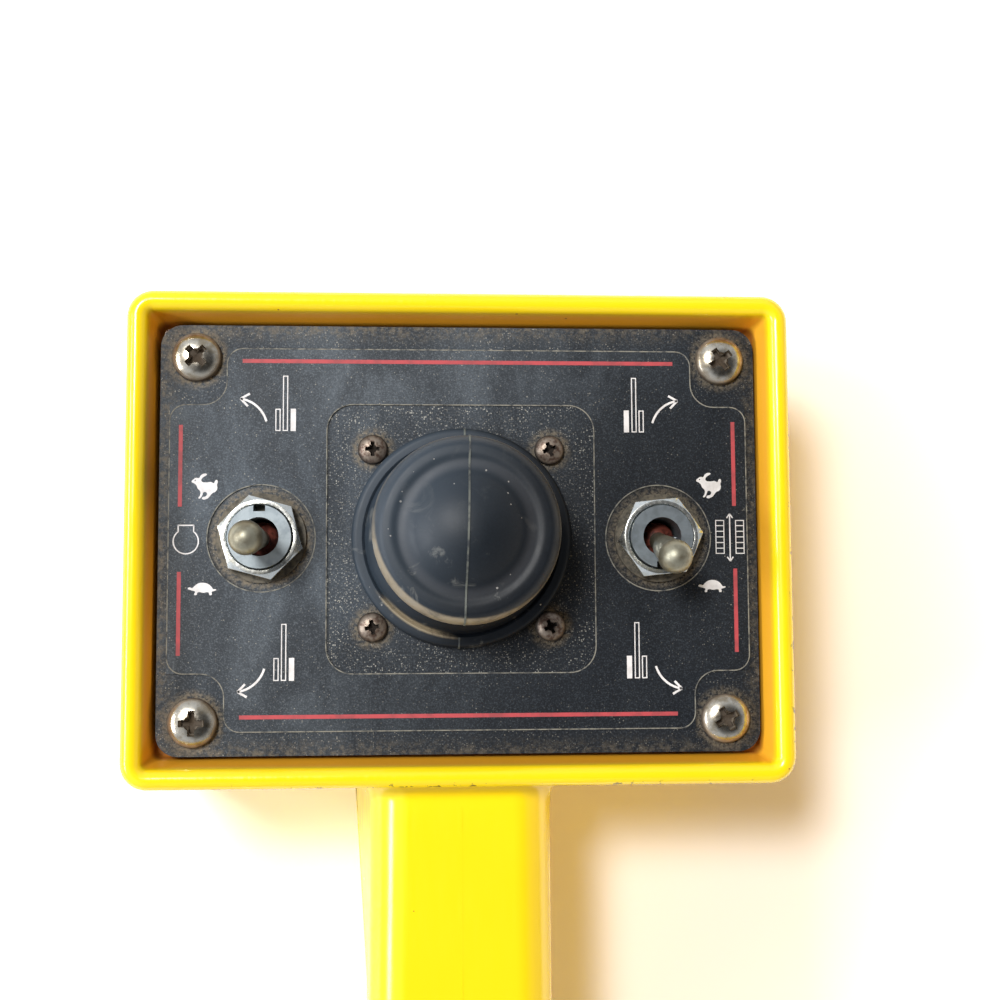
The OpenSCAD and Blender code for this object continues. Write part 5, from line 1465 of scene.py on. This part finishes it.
def makeRedLines():
    look = signLook
    half = look["redHalf"]
    bm = bmesh.new()
    for x0, x1, y in look["redLevel"]:
        inkBar(bm, x0, y - half, x1, y + half)
    for x, y0, y1 in look["redUpright"]:
        inkBar(bm, x - half, y0, x + half, y1)
    raiseInk("redBorderLines", bm, finishes["redInk"])


def liftArrow(bm, side, tail, tip, bulge):
    # a quarter-like sweep from the tail to the tip, and its head
    look = signLook
    dx, dy = tip[0] - tail[0], tip[1] - tail[1]
    chord = math.hypot(dx, dy)
    radius = chord * look["liftBend"]
    off = bulge * math.sqrt(radius ** 2 - (chord / 2) ** 2) / chord
    centre = ((tip[0] + tail[0]) / 2 + dy * off, (tip[1] + tail[1]) / 2 - dx * off)
    start, stop = (math.degrees(math.atan2(end[1] - centre[1], side * (end[0] - centre[0])))
                   for end in (tail, tip))
    if stop - start > 180:
        stop -= 360
    if start - stop > 180:
        stop += 360
    inkArc(bm, (side * centre[0], centre[1]), radius, start, stop, look["liftStroke"])
    heading = stop + (90 if stop > start else -90)
    inkArrowHead(bm, (side * tip[0], tip[1]), heading, *look["liftHead"], look["liftStroke"])


def makeSigns():
    look = signLook
    bm = bmesh.new()
    # lift signs in the corners: a tall bar between two short ones, and a curved arrow
    for side in (-1, 1):
        for foot, tail, tip, bulge in look["lifts"]:
            for near, far, height, outline in look["liftBars"]:
                inkBar(bm, side * near, foot, side * far, foot + height, outline)
            liftArrow(bm, side, tail, tip, bulge)
    # engine sign: a round body with a neck
    stroke = look["engineStroke"]
    inkArc(bm, *look["engineBody"], stroke, 28)
    for x0, y0, x1, y1 in look["engineNeck"]:
        inkStroke(bm, (x0, y0), (x1, y1), stroke)
    # track sign: two ladders and a double arrow
    wide, low, high, rungs = look["ladderSize"]
    line, inset = look["ladderStroke"], look["rungInset"]
    for x in look["ladders"]:
        inkBar(bm, x, low, x + wide, low + high, line)
        for rung in range(1, rungs):
            y = low + high * rung / rungs
            inkStroke(bm, (x + inset, y), (x + wide - inset, y), line)
    x, upper, lower = look["trackArrow"]
    inkStroke(bm, (x, upper), (x, lower), stroke)
    for y, angle in look["trackTips"]:
        inkArrowHead(bm, (x, y), angle, *look["trackHead"], stroke)
    # hare for fast, tortoise for slow
    hare, tortoise = inkBlob("hare", hareShape, hareEye), inkBlob("tortoise", tortoiseShape)
    for k in (0, 1):
        for shape, (x, y) in ((hare, look["hares"][k]), (tortoise, look["tortoises"][k])):
            known = set(bm.verts)
            bm.from_mesh(shape)
            fresh = [vert for vert in bm.verts if vert not in known]
            bmesh.ops.translate(bm, verts=fresh, vec=(x * mm, y * mm, inkLook["low"]))
    raiseInk("whiteSigns", bm, finishes["whiteInk"])


makeDustSeams()
makeRedLines()
makeSigns()
print("graphics made")


# CAD nodes that keep their shape

nodeFinish = {
    "blackRubber": ("cover_gasket", "panel_gasket", "gland_washer", "gland_seal"),
    "brass": ("panel_inserts",),
    "powderCoat": ("control_panel",),
    "overlayFilm": ("panel_overlay",),
    "blackNylon": ("joystick_frame", "joystick_bottom_cover", "magnet_holder", "sensor_chip", "knob_core"),
    "stainless": ("joystick_cover_screws", "strip_screws"),
    "castZinc": ("gimbal_ring", "left_toggle_bushing"),
    "darkZinc": ("right_toggle_bushing",),
    "tarnishedZinc": ("left_toggle_tab_washer", "right_toggle_tab_washer"),
    "turnedSteel": ("gimbal_pins", "stick_shaft", "stick_pin", "side_tilt_spring", "fore_tilt_spring",
                    "knob_nut", "left_toggle_pivot_pin", "right_toggle_pivot_pin"),
    "magnet": ("sensor_magnet",),
    "boardLacquer": ("sensor_board",),
    "ivoryNylon": ("joystick_socket", "terminal_strip", "left_toggle_plunger", "right_toggle_plunger"),
    "phenolic": ("left_toggle_case", "right_toggle_case"),
    "brightZinc": ("left_toggle_back_fixings", "right_toggle_back_fixings"),
    "redSilicone": ("left_toggle_seal", "right_toggle_seal"),
    "copper": ("left_toggle_rocker", "right_toggle_rocker"),
    "silverPlate": ("left_toggle_terminals", "right_toggle_terminals"),
    "glandNylon": ("gland_body", "gland_locknut", "gland_dome_nut"),
    "redLead": ("inner_leads",),
}

for finish, names in nodeFinish.items():
    for name in names:
        for slot in cadNodes[name].material_slots:
            slot.material = finishes[finish]
print("CAD nodes dressed")
